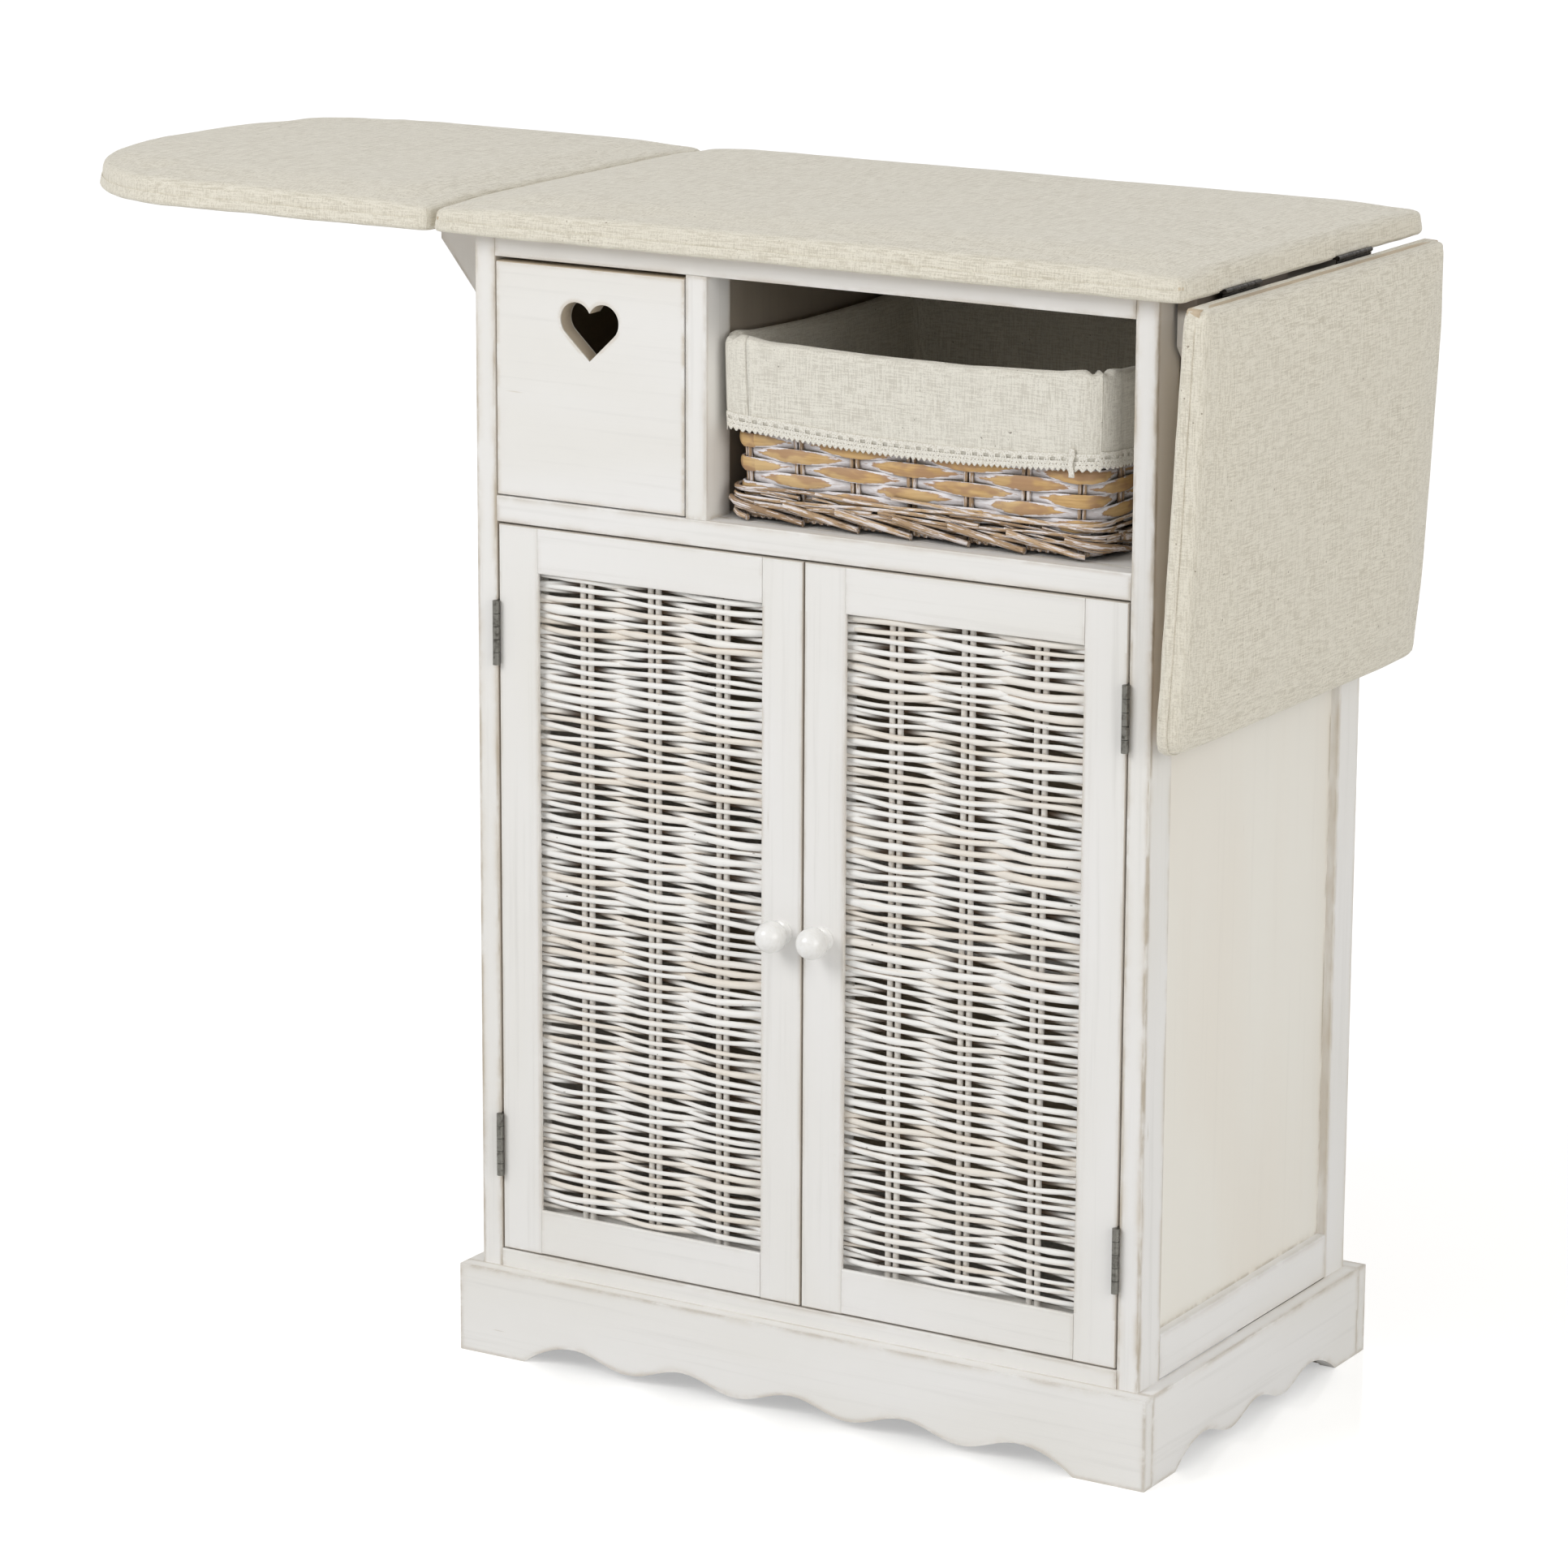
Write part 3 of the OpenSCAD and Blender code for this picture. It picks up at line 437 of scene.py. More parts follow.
# %% Finish on every board
def dress(finish, *names):
    """Gives CAD nodes a material, in each of their slots."""
    for name in names:
        slots = NODES[name].material_slots
        for slot in slots:
            slot.material = finish
        if not slots:
            NODES[name].data.materials.append(finish)


dress(pine["z"], "divider_post", "left_wing")
dress(right_wing_shaded_pine, "right_wing")
dress(right_rail_shaded_pine, "right_side_rails")
dress(front_post_pine, "front_left_post", "front_right_post")
dress(back_post_pine, "back_left_post", "back_right_post")
dress(stile_pine, "left_door_stiles", "right_door_stiles")
dress(door_rail_pine, "left_door_rails", "right_door_rails")
dress(cream_panel, "left_side_panel", "right_side_panel")
dress(
    pine["x"], "back_rails", "top_rail", "middle_rail", "bottom_rail", "compartment_floor", "floor_panel",
    "inner_shelf", "plinth_front", "plinth_back",
)
dress(drawer_pine, "drawer_front")
dress(painted_shade_pine, "divider_panel")
dress(pine["y"], "left_side_rails", "wing_battens", "plinth_left", "plinth_right")
dress(raw_pine["x"], "centre_board", "left_leaf_board", "drawer_back", "drawer_bottom")
dress(raw_pine["y"], "shelf_battens", "drawer_guides", "drawer_sides")
dress(raw_pine["z"], "back_panel", "right_leaf_board")
print("The boards have their finish")

# %% [markdown]
# The hinges are of two kinds: dull nickel on the doors and brackets, and dark steel under the top.
# Small parts look like metal when their gloss isn't even, so noise varies the roughness a little.

# %% Metals
def metal(name, colour, dull, roughness):
    """Metal whose scuffs are duller, rougher and a little raised."""
    shader = start_finish(name, roughness, Metallic=1.0)
    scuffs = grain((260, 260, 260), 4, 2.2)
    rough = spread(scuffs, 0.3, 0.7, roughness - 0.08, roughness + 0.14)
    feed(rough, shader.inputs["Roughness"])
    return end_finish(coat(colour, dull, scuffs, 0.45, 0.75), scuffs, 0.00003)


nickel = metal("nickel", (0.18, 0.175, 0.157), (0.075, 0.071, 0.061), 0.34)
dark_steel = metal("dark_steel", (0.045, 0.04, 0.036), (0.022, 0.019, 0.017), 0.42)
dress(
    nickel, "door_hinge_post_leaves", "left_door_hinge_leaves", "right_door_hinge_leaves", "door_catches",
    "wing_hinge_side_leaves", "left_wing_hinge_leaves", "right_wing_hinge_leaves",
)
dress(dark_steel, "leaf_hinge_centre_leaves", "left_leaf_hinge_leaves", "right_leaf_hinge_leaves")

# %% [markdown]
# The cover of the ironing board is undyed linen. Linen yarn is uneven: thick places run on as short
# slubs along both threads, and dark flecks of straw are spun in. The weave follows the cloth: on a flat
# top it runs along x and y, on the sides along z. The object's own normal tells which face a point is on.

# %% Linen
def spread_between(share, one, other):
    """A number between two others, by a share."""
    return add("MapRange", Value=share, To_Min=one, To_Max=other).outputs[0]


def linen(name, pale, dark, fleck):
    """Woven linen: slubs along both threads, slow clouds, flecks of straw and a slightly uneven bump."""
    start_finish(name, 0.93, Specular_IOR_Level=0.15, Sheen_Weight=0.2, Sheen_Roughness=0.6)
    facing = add("SeparateXYZ", Vector=add("TexCoord").outputs["Normal"]).outputs
    crossed = 0.0
    for k, shift in enumerate((3.3, 5.1, 7.9)):
        slubs = grain(along("xyz"[k], 70, 1050), 2, shift)
        across = size_of(facing[k])
        crossed = plus(crossed, spread_between(across, slubs, 0.5))
    threads = grain((900, 900, 900), 2, 0.7)
    clouds = grain((14, 14, 14), 3, 6.2)
    colour = coat(dark, pale, crossed, 1.33, 1.60)
    colour = coat(colour, shade(pale, 0.94), clouds, 0.3, 0.75, 0.4)
    colour = coat(colour, shade(dark, 0.82), threads, 0.50, 0.30, 0.45)
    flecks = grain((300, 300, 300), 1, 8.8)
    colour = coat(colour, fleck, flecks, 0.76, 0.80, 0.7)
    uneven = grain((420, 420, 420), 2, 4.4)
    return end_finish(colour, uneven, 0.00011)


cover_linen = linen("cover_linen", (0.795, 0.755, 0.65), (0.60, 0.555, 0.455), (0.20, 0.15, 0.10))
liner_linen = linen("liner_linen", (0.79, 0.765, 0.685), (0.61, 0.58, 0.505), (0.16, 0.13, 0.10))

# %% [markdown]
# New pieces start as a primitive that is shaped in edit mode and finished with modifiers. Many of them
# repeat, such as the willow rods, so they are modelled once, lying straight, and then each copy is bent
# to its own path. These helpers add a copy, bend it and join the copies into one piece.

# %% Helpers for new pieces
def select_only(*things):
    """Deselects everything, then selects these; the first becomes active."""
    bpy.ops.object.select_all(action="DESELECT")
    for thing in things:
        thing.select_set(True)
    bpy.context.view_layer.objects.active = things[0]


def joined(*things):
    """Joins things into the first of them."""
    select_only(*things)
    bpy.ops.object.join()


def edited(thing, kind, picked, job, **settings):
    """Does one mesh operation in edit mode, on the edges or faces that are picked, or on everything."""
    select_only(thing)
    bpy.ops.object.mode_set(mode="EDIT")
    bpy.ops.mesh.select_mode(type=kind)
    bpy.ops.mesh.select_all(action="DESELECT" if picked else "SELECT")
    if picked:
        shape = bmesh.from_edit_mesh(thing.data)
        for part in shape.edges if kind == "EDGE" else shape.faces:
            part.select = picked(part)
        bmesh.update_edit_mesh(thing.data)
    job(**settings)
    bpy.ops.object.mode_set(mode="OBJECT")


def applied(thing, kind, **settings):
    """Adds a modifier with these settings and applies it."""
    modifier = thing.modifiers.new(kind.lower(), kind)
    for name, value in settings.items():
        setattr(modifier, name, value)
    select_only(thing)
    bpy.ops.object.modifier_apply(modifier=modifier.name)


def finish_piece(thing, name, finish, body):
    """Names a piece, gives it its material and body, and says how large it came out."""
    thing.name = thing.data.name = name
    thing.data.materials.clear()
    thing.data.materials.append(finish)
    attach(thing, body)
    print(name, "has", len(thing.data.polygons), "faces")


def straight_rod(length, radius, sides, cuts):
    """A rod along x from 0 to length, cut across so that it can bend."""
    bpy.ops.object.select_all(action="DESELECT")
    bpy.ops.mesh.primitive_cylinder_add(
        vertices=sides, radius=radius, depth=length,
        location=(length / 2, 0, 0), rotation=(0, math.pi / 2, 0),
    )
    rod = bpy.context.object
    bpy.ops.object.transform_apply(location=True, rotation=True, scale=True)

    def runs_along(edge):
        return abs(edge.verts[0].co.x - edge.verts[1].co.x) > length / 2

    edited(rod, "EDGE", runs_along, bpy.ops.mesh.subdivide, number_cuts=cuts)
    return rod


def flat_cloth(length, height, cuts_along, cuts_up):
    """A cloth in the x-z plane, from 0 to length and 0 to height."""
    bpy.ops.object.select_all(action="DESELECT")
    bpy.ops.mesh.primitive_grid_add(x_subdivisions=cuts_along, y_subdivisions=cuts_up, size=1)
    cloth = bpy.context.object
    for point in cloth.data.vertices:
        x, y, _ = point.co
        point.co = ((x + 0.5) * length, 0, (y + 0.5) * height)
    return cloth


def bent_copies(master, bends):
    """One copy of the master for each bend, joined into one object. A bend takes and returns a point.
    Each point also keeps its place on the straight master, so that a finish can run along the rod."""
    copies = []
    for number, bend in enumerate(bends):
        mesh = master.data.copy()
        lay = mesh.attributes.new("lay", "FLOAT_VECTOR", "POINT")
        straight = [c for p in mesh.vertices for c in (p.co.x + 1.7 * number, p.co.y, p.co.z)]
        lay.data.foreach_set("vector", straight)
        for point in mesh.vertices:
            point.co = bend(point.co)
        copies.append(new_object("copy", mesh))
    bpy.data.objects.remove(master)
    select_only(*copies)
    if len(copies) > 1:
        bpy.ops.object.join()
    return bpy.context.view_layer.objects.active


def tint_of(thing, name, values):
    """A number on each point, for the material to read."""
    mark = thing.data.attributes.new(name, "FLOAT", "POINT")
    mark.data.foreach_set("value", values)


def tint_in(name):
    """The number on each point, as the material reads it."""
    return add("Attribute", attribute_name=name).outputs["Fac"]


def streaks_along(per_metre, detail=3.0):
    """Noise that follows each rod: a rate along it, then two across it."""
    lay = add("Attribute", attribute_name="lay").outputs["Vector"]
    return noise_at(lay, per_metre, detail)


def smooth(thing, degrees):
    """Smooth shading, with edges sharper than this kept."""
    select_only(thing)
    bpy.ops.object.shade_smooth_by_angle(angle=math.radians(degrees))


def weld(thing, distance):
    """Joins points that lie this close together."""
    edited(thing, "VERT", None, bpy.ops.mesh.remove_doubles, threshold=distance)


def turn_outwards(thing):
    """Turns every face outwards."""
    edited(thing, "FACE", None, bpy.ops.mesh.normals_make_consistent, inside=False)


def ease(t):
    """0 to 1 with a soft start and end."""
    t = min(1.0, max(0.0, t))
    return t * t * (3 - 2 * t)


def wobble(x, y, z):
    """Smooth noise between -1 and 1 that is the same at each run."""
    return noise.noise(Vector((x, y, z)))

# %% [markdown]
# Each of the three pads is a layer of foam under linen that is pulled tight over a board. It could be
# one block with rounded edges, but real cloth bulges between its seams, and the pull of the seams shows
# as shallow hollows. So the pad starts as a grid in the outline of the board, gets rounded sides and a
# recess for the board, and then Blender's cloth simulation blows it up a little.

# %% Outlines of the pads
TOP = 0.877
HALF_BOARD = 0.3155
BOARD_FRONT, BOARD_BACK = FRONT - 0.018, FRONT + 0.377
SQUARE, HINGE_CORNER, LEAF_CORNER = 0.006, 0.010, 0.012


def rectangle(x0, x1, u, v, r0, r1, inset):
    """Maps u and v, each 0 to 1, onto a rectangle whose corners are rounded by r0 at x0 and r1 at x1."""
    x = x0 + inset + (x1 - x0 - 2 * inset) * u
    y = BOARD_FRONT + inset + (BOARD_BACK - BOARD_FRONT - 2 * inset) * v
    radius = max(0.002, (r0 if u < 0.5 else r1) - inset)
    dx = radius - min(x - x0 - inset, x1 - inset - x)
    dy = radius - min(y - BOARD_FRONT - inset, BOARD_BACK - inset - y)
    if dx > 0 and dy > 0:
        square = max(dx, dy)
        pull = square / math.hypot(dx, dy)
        x += math.copysign(dx * (1 - pull), 0.5 - u)
        y += math.copysign(dy * (1 - pull), 0.5 - v)
    return x, y


def oval(x0, x1, nose, u, v, inset):
    """Maps u and v onto the left leaf: a half oval from x0 for the nose's length, then straight to x1."""
    middle = (BOARD_FRONT + BOARD_BACK) / 2
    half = (BOARD_BACK - BOARD_FRONT) / 2 - inset
    start = x0 + nose
    share = nose / (x1 - x0)
    side = 2 * v - 1
    if u >= share:
        return start + (x1 - inset - start) * (u - share) / (1 - share), middle + half * side
    back = u / share - 1
    round_x = back * math.sqrt(1 - side * side / 2)
    round_y = side * math.sqrt(1 - back * back / 2)
    return start + (nose - inset) * round_x, middle + half * round_y

# %% Building a pad
PAD_SECTION = (  # distance in from the outline, height over the top of the cabinet
    (0.0085, 0.0217), (0.0055, 0.0212), (0.0032, 0.0200), (0.0014, 0.0180), (0.0004, 0.0152), (0.0, 0.0118),
    (0.0, 0.0060), (0.0004, 0.0016), (0.0018, 0.0), (0.0033, 0.0006), (0.0033, 0.0052), (0.0036, 0.0103),
    (0.0090, 0.0104),
)
HELD_FROM = 7
CROWN = 0.0022


def pad_shell(place, cuts_u, cuts_v):
    """A closed pad: a crowned top, sides in rings, a hem round the board's edge and a ceiling over the board.
    Gives the pad and, for each ring below the top, the numbers of its points."""
    bpy.ops.object.select_all(action="DESELECT")
    bpy.ops.mesh.primitive_grid_add(x_subdivisions=cuts_u, y_subdivisions=cuts_v, size=1)
    pad = bpy.context.object
    inset, height = PAD_SECTION[0]
    for point in pad.data.vertices:
        u, v = point.co.x + 0.5, point.co.y + 0.5
        x, y = place(u, v, inset)
        away = min(u, 1 - u) * 2, min(v, 1 - v) * 2
        crown = ease(min(1.0, away[0] * 5)) * ease(min(1.0, away[1] * 4))
        point.co = (x, y, TOP + height + CROWN * crown)
    crowned = len(pad.data.vertices)
    shape = bmesh.new()
    shape.from_mesh(pad.data)
    loop = ring_in_order([e for e in shape.edges if e.is_boundary])
    marks = [(p.co.x, p.co.y) for p in loop]
    count = len(marks)
    for inset, height in PAD_SECTION[1:]:
        outwards = PAD_SECTION[0][0] - inset
        ring = [shape.verts.new((*outline_point(marks, k, outwards), TOP + height)) for k in range(count)]
        for k in range(count):
            n = (k + 1) % count
            shape.faces.new((loop[k], loop[n], ring[n], ring[k]))
        loop = ring
    shape.faces.new(loop)
    bmesh.ops.recalc_face_normals(shape, faces=shape.faces)
    shape.to_mesh(pad.data)
    shape.free()
    starts = [crowned + ring * count for ring in range(len(PAD_SECTION) - 1)]
    rings = [range(start, start + count) for start in starts]
    held = [p for ring in rings[HELD_FROM - 1:] for p in ring]
    pad.vertex_groups.new(name="hem").add(held, 1.0, "REPLACE")
    return pad, rings


def ring_in_order(edges):
    """The points of a closed loop of edges, one after the other, anticlockwise seen from above."""
    near = {}
    for edge in edges:
        for a, b in (edge.verts, reversed(edge.verts)):
            near.setdefault(a, []).append(b)
    ring = [edges[0].verts[0]]
    ring.append(near[ring[0]][0])
    while len(ring) < len(edges):
        ring.append(next(p for p in near[ring[-1]] if p is not ring[-2]))
    area = sum(a.co.x * b.co.y - b.co.x * a.co.y for a, b in zip(ring, ring[1:] + ring[:1]))
    return ring if area > 0 else ring[::-1]


def outward(marks, k):
    """The direction that leads out of an outline at its point k, and how much longer a mitre is there."""
    before, here, after = (Vector(marks[(k + d) % len(marks)][:2]) for d in (-1, 0, 1))
    one, two = (here - before).normalized(), (after - here).normalized()
    corner = (one + two).normalized()
    return Vector((corner.y, -corner.x, 0)), 1 / max(0.75, corner.dot(one))


def outline_point(marks, k, out):
    """The point k of an outline, moved outwards by a distance."""
    away, mitre = outward(marks, k)
    return marks[k][0] + away.x * out * mitre, marks[k][1] + away.y * out * mitre

# %% Blowing the pads up
def swell(pad, cap, frames=16):
    """Cloth simulation with air pressure; no point may move further than the cap. The hem stays put."""
    start = [point.co.copy() for point in pad.data.vertices]
    modifier = pad.modifiers.new("cloth", "CLOTH")
    modifier.settings.use_pressure = True
    modifier.settings.uniform_pressure_force = 3.0
    modifier.settings.effector_weights.gravity = 0
    modifier.settings.vertex_group_mass = "hem"
    modifier.settings.quality = 5
    modifier.point_cache.frame_end = frames
    for step in range(1, frames + 1):
        bpy.context.scene.frame_set(step)
    select_only(pad)
    bpy.ops.object.modifier_apply(modifier="cloth")
    bpy.context.scene.frame_set(1)
    for point, rest in zip(pad.data.vertices, start):
        move = point.co - rest
        if move.length > cap:
            point.co = rest + move.normalized() * cap


def soften(pad, seed):
    """The small unevenness of stuffed cloth: slow waves on top, finer ones along the sides."""
    for point in pad.data.vertices:
        wave = wobble(point.co.x * 11, point.co.y * 11, seed)
        fine = wobble(point.co.x * 45, point.co.y * 45, seed + 3)
        rise = (point.co.z - TOP) / 0.025
        point.co.z += (0.0007 * wave + 0.0002 * fine) * max(0, rise)
        if rise < 0.1:
            point.co.z += 0.0006 * fine

# %% Hem and corner seams of a pad
HEM_SECTION = (  # ring of the pad, share of the way up to the ring above it, outwards, up
    (5, 0.45, 0.0001, 0.0), (5, 0.42, 0.0010, 0.0), (5, 0.0, 0.0012, 0.0), (6, 0.0, 0.0011, -0.0004),
    (7, 0.0, 0.0005, -0.0011), (7, 0.0, -0.0010, -0.0012), (7, 0.0, -0.0008, 0.0002), (6, 0.0, -0.0005, 0.0),
    (5, 0.0, -0.0005, 0.0),
)


def sewn_on(pad, loops, closed_round):
    """Joins a tube to a pad. The tube is a list of cross-sections, each a loop of points."""
    shape = bmesh.new()
    made = [[shape.verts.new(p) for p in loop] for loop in loops]
    for k in range(len(made) if closed_round else len(made) - 1):
        one, two = made[k], made[(k + 1) % len(made)]
        for j in range(len(one)):
            n = (j + 1) % len(one)
            shape.faces.new((one[j], one[n], two[n], two[j]))
    if not closed_round:
        shape.faces.new(made[0])
        shape.faces.new(made[-1][::-1])
    bmesh.ops.recalc_face_normals(shape, faces=shape.faces)
    mesh = bpy.data.meshes.new("sewn")
    shape.to_mesh(mesh)
    shape.free()
    joined(pad, new_object("sewn", mesh))


def smoothed_corner(points, ring, k):
    """Where the later subdivision leaves the point k of a ring: an eighth of the way to both neighbours."""
    here = points[ring[k]]
    return here + 0.125 * (points[ring[k - 1]] + points[ring[(k + 1) % len(ring)]] - 2 * here)


def hem_and_seams(pad, rings, plain_ends, corners):
    """A folded hem round the lower half of the side, but not at plain ends, and a seam at each corner."""
    points = [p.co.copy() for p in pad.data.vertices]
    marks = [(points[p].x, points[p].y) for p in rings[5]]
    band = []
    for k in range(len(marks)):
        away, _ = outward(marks, k)
        ripple = wobble(marks[k][0] * 24, marks[k][1] * 24, 5)
        plain = any(abs(marks[k][0] - x) < 0.002 for x in plain_ends)
        section = []
        for ring, share, out, rise in HEM_SECTION:
            place = points[rings[ring][k]].lerp(points[rings[ring - 1][k]], share)
            loose = 0.0008 if ring == 7 else 0.00024
            aside = away * (-0.0014 if plain else out + 0.0004 * ripple)
            section.append(place + aside + Vector((0, 0, rise - loose * max(0, ripple))))
        band.append(section)
    seams = []
    for corner in corners:
        k = min(range(len(marks)), key=lambda k: (Vector(marks[k]) - Vector(corner)).length)
        away, _ = outward(marks, k)
        across = Vector((-away.y, away.x, 0)) * 0.0009
        seams.append([
            [p - away * 0.0012, p + across * 0.7, p + away * 0.0005, p - across * 0.7]
            for p in (smoothed_corner(points, ring, k) for ring in rings[1:8])
        ])
    sewn_on(pad, band, True)
    for seam in seams:
        sewn_on(pad, seam, False)

# %% The three pads
CORNER_SINK, EDGE_SINK, SINK_WIDTH = 0.0042, 0.0013, 0.07
BOARD_THICK, PADDING = 0.0106, 0.0135


def lower_corners(pad, x0, x1):
    """Stuffing thins out towards the corners, and less towards the edges, but only above the board."""
    for point in pad.data.vertices:
        high = point.co.z - TOP - BOARD_THICK
        if high > 0:
            near_end = 1 - ease(min(point.co.x - x0, x1 - point.co.x) / SINK_WIDTH)
            near_side = 1 - ease(min(point.co.y - BOARD_FRONT, BOARD_BACK - point.co.y) / SINK_WIDTH)
            sink = CORNER_SINK * near_end * near_side + EDGE_SINK * max(near_end, near_side)
            point.co.z -= high / PADDING * sink


SWELL_CAP = 0.0020
CENTRE = (-HALF_BOARD, HALF_BOARD)
LEFT_LEAF, NOSE = (-0.7135, -0.3175), 0.160
RIGHT_LEAF = (0.3192, 0.6415)
LEAF_PIVOT, HANGING = Vector((0.3165, 0, TOP)), math.radians(92.822)
HANG = Matrix.Translation(LEAF_PIVOT) @ Matrix.Rotation(HANGING, 4, "Y") @ Matrix.Translation(-LEAF_PIVOT)


def finished_pad(shell, name, node, body, ends, plain_ends, square_ends, turn):
    pad, rings = shell
    swell(pad, SWELL_CAP)
    soften(pad, len(name))
    lower_corners(pad, *ends)
    corners = [(x, y) for x in square_ends for y in (BOARD_FRONT, BOARD_BACK)]
    hem_and_seams(pad, rings, plain_ends, corners)
    applied(pad, "SUBSURF", levels=1, render_levels=1, use_limit_surface=False)
    if turn:
        pad.data.transform(turn)
    bpy.ops.object.shade_smooth()
    finish_piece(pad, name, cover_linen, body)
    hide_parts(node)


centre = pad_shell(lambda u, v, e: rectangle(*CENTRE, u, v, SQUARE, SQUARE, e), 79, 49)
left_leaf = pad_shell(lambda u, v, e: oval(*LEFT_LEAF, NOSE, u, v, e), 50, 49)
right_leaf = pad_shell(lambda u, v, e: rectangle(*RIGHT_LEAF, u, v, HINGE_CORNER, LEAF_CORNER, e), 41, 49)
PADS = (  # shell, name, body, ends, ends without a hem, ends with square corners, turn
    (centre, "centre", "cabinet", CENTRE, CENTRE, CENTRE, None),
    (left_leaf, "left_leaf", "left_leaf", LEFT_LEAF, LEFT_LEAF[1:], LEFT_LEAF[1:], None),
    (right_leaf, "right_leaf", "right_leaf", RIGHT_LEAF, RIGHT_LEAF[:1], RIGHT_LEAF, HANG),
)
for shell, name, *places in PADS:
    finished_pad(shell, name + "_cover", name + "_pad", *places)

# %% [markdown]
# Each door holds a panel of white willow. Three pairs of stakes stand in the opening, and thin rods are
# woven across them, in front of one pair and behind the next. Half way between the stakes the rods that
# come forward cross those that go back, so there the panel is dense; beside the stakes it opens into
# narrow dark gaps. All rods are copies of one straight rod, each with its own thickness and wander.

# %% White willow
def white_willow_finish():
    """Peeled rods with white wash and dark specks; near-black painted shade where rods pass behind the
    stakes, and brown painted shade where rods lie close.
    """
    start_finish("white_willow", 0.5, Specular_IOR_Level=0.4)
    own = tint_in("tint")
    streaks = streaks_along((26, 480, 480))
    colour = coat((0.90, 0.89, 0.865), (0.74, 0.63, 0.50), streaks, 0.5, 0.78, 0.5)
    colour = coat(colour, (0.76, 0.66, 0.53), own, 0.62, 1.0, 0.5)
    depth = tint_in("forward")
    # Rods are painted near-black where they pass behind the stakes: painted shade.
    painted_shade_behind = plus(depth, times(streaks, 0.35))
    colour = coat(colour, (0.105, 0.066, 0.040), painted_shade_behind, -0.30, -0.80)
    # Brown in the crevices where rods lie close: painted shade.
    colour = coat(colour, (0.34, 0.225, 0.13), crevices(0.003), 0.66, 0.12, 0.75)
    specks = streaks_along((210, 420, 420), 1)
    colour = coat(colour, (0.12, 0.09, 0.07), specks, 0.77, 0.81, 0.75)
    return end_finish(colour, streaks, 0.00015)


white_willow = white_willow_finish()

# %% Weaving a door
HALF_OPENING = 0.09838
STAKE_STEP, HALF_PAIR = 0.060, 0.0034
PANEL_Y, WEAVE_DEPTH = FRONT + 0.009, 0.0047
ROD_COUNT, ROD_RADIUS, STAKE_RADIUS = 130, 0.00215, 0.0024
ROD_SIZES = (0.80, 0.90, 1.0, 1.0, 1.08, 1.32)
TUCKED_IN, EDGE_ROOM = 0.003, 0.0015


def rod_depth(x, side):
    """Where a rod runs: 1 in front of the stakes, -1 behind them."""
    if abs(x) <= STAKE_STEP:
        return side * math.cos(math.pi * (abs(x) - STAKE_STEP) / STAKE_STEP)
    return side * math.cos(math.pi / 2 * (abs(x) - STAKE_STEP) / (HALF_OPENING - STAKE_STEP))


def rod_bend(number, middle, chance):
    """The path and thickness of one woven rod."""
    side = 1 if number % 2 else -1
    pitch = (OPENING_HIGH - OPENING_LOW - 0.004) / (ROD_COUNT - 1)
    height = OPENING_LOW + 0.002 + number * pitch
    fat = chance.choice(ROD_SIZES)
    seed, grow = chance.uniform(0, 90), chance.uniform(-0.16, 0.16)
    slant = chance.uniform(-0.018, 0.010)

    def bend(point):
        x = point.x - HALF_OPENING - TUCKED_IN
        thick = fat * (1 + grow * x / HALF_OPENING)
        wander = 0.0021 * wobble(x * 19, seed, 0) + 0.0030 * wobble(x * 9, height * 14, 2)
        apart = 0.0019 * wobble(x * 6, seed, 7) * ease((abs(x) - 0.05) / 0.04)
        knot = 1 + 0.45 * max(0, wobble(x * 45, 0, seed) - 0.3) * 2
        z = height + wander + apart + slant * x
        z = min(max(z, OPENING_LOW + EDGE_ROOM), OPENING_HIGH - EDGE_ROOM)
        return Vector((
            middle + x,
            PANEL_Y - WEAVE_DEPTH * rod_depth(x, side) + point.y * thick * knot,
            z + point.z * thick * knot,
        ))

    return bend


def woven_panel(name, middle, body, node, seed):
    """The willow panel of one door: woven rods, and three pairs of stakes that stand in the opening."""
    chance = random.Random(seed)
    rod = straight_rod(2 * (HALF_OPENING + TUCKED_IN), ROD_RADIUS, 7, 43)
    places = [p.co.x - HALF_OPENING - TUCKED_IN for p in rod.data.vertices]
    rods = bent_copies(rod, [rod_bend(k, middle, chance) for k in range(ROD_COUNT)])
    tints = [chance.random() for _ in range(ROD_COUNT)]
    tint_of(rods, "tint", [tint for tint in tints for _ in places])
    tint_of(rods, "forward", [rod_depth(x, 1 if k % 2 else -1) for k in range(ROD_COUNT) for x in places])
    stake = straight_rod(OPENING_HIGH - OPENING_LOW + 2 * TUCKED_IN, STAKE_RADIUS, 8, 9)
    standing = [base + half for base in (-STAKE_STEP, 0, STAKE_STEP) for half in (-HALF_PAIR, HALF_PAIR)]
    stakes = bent_copies(stake, [
        lambda p, at=middle + at, seed=chance.uniform(0, 50): Vector((
            at + p.y + 0.0005 * wobble(p.x * 9, seed, 0), PANEL_Y + p.z, OPENING_LOW - TUCKED_IN + p.x,
        )) for at in standing
    ])
    tint_of(stakes, "tint", [0.8] * len(stakes.data.vertices))
    tint_of(stakes, "forward", [0.3] * len(stakes.data.vertices))
    joined(rods, stakes)
    smooth(rods, 60)
    finish_piece(rods, name, white_willow, body)
    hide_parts(node)


DOOR_MIDDLE = 0.134125
woven_panel("left_woven_panel", -DOOR_MIDDLE, "left_door", "left_door_wicker", 11)
woven_panel("right_woven_panel", DOOR_MIDDLE, "right_door", "right_door_wicker", 23)

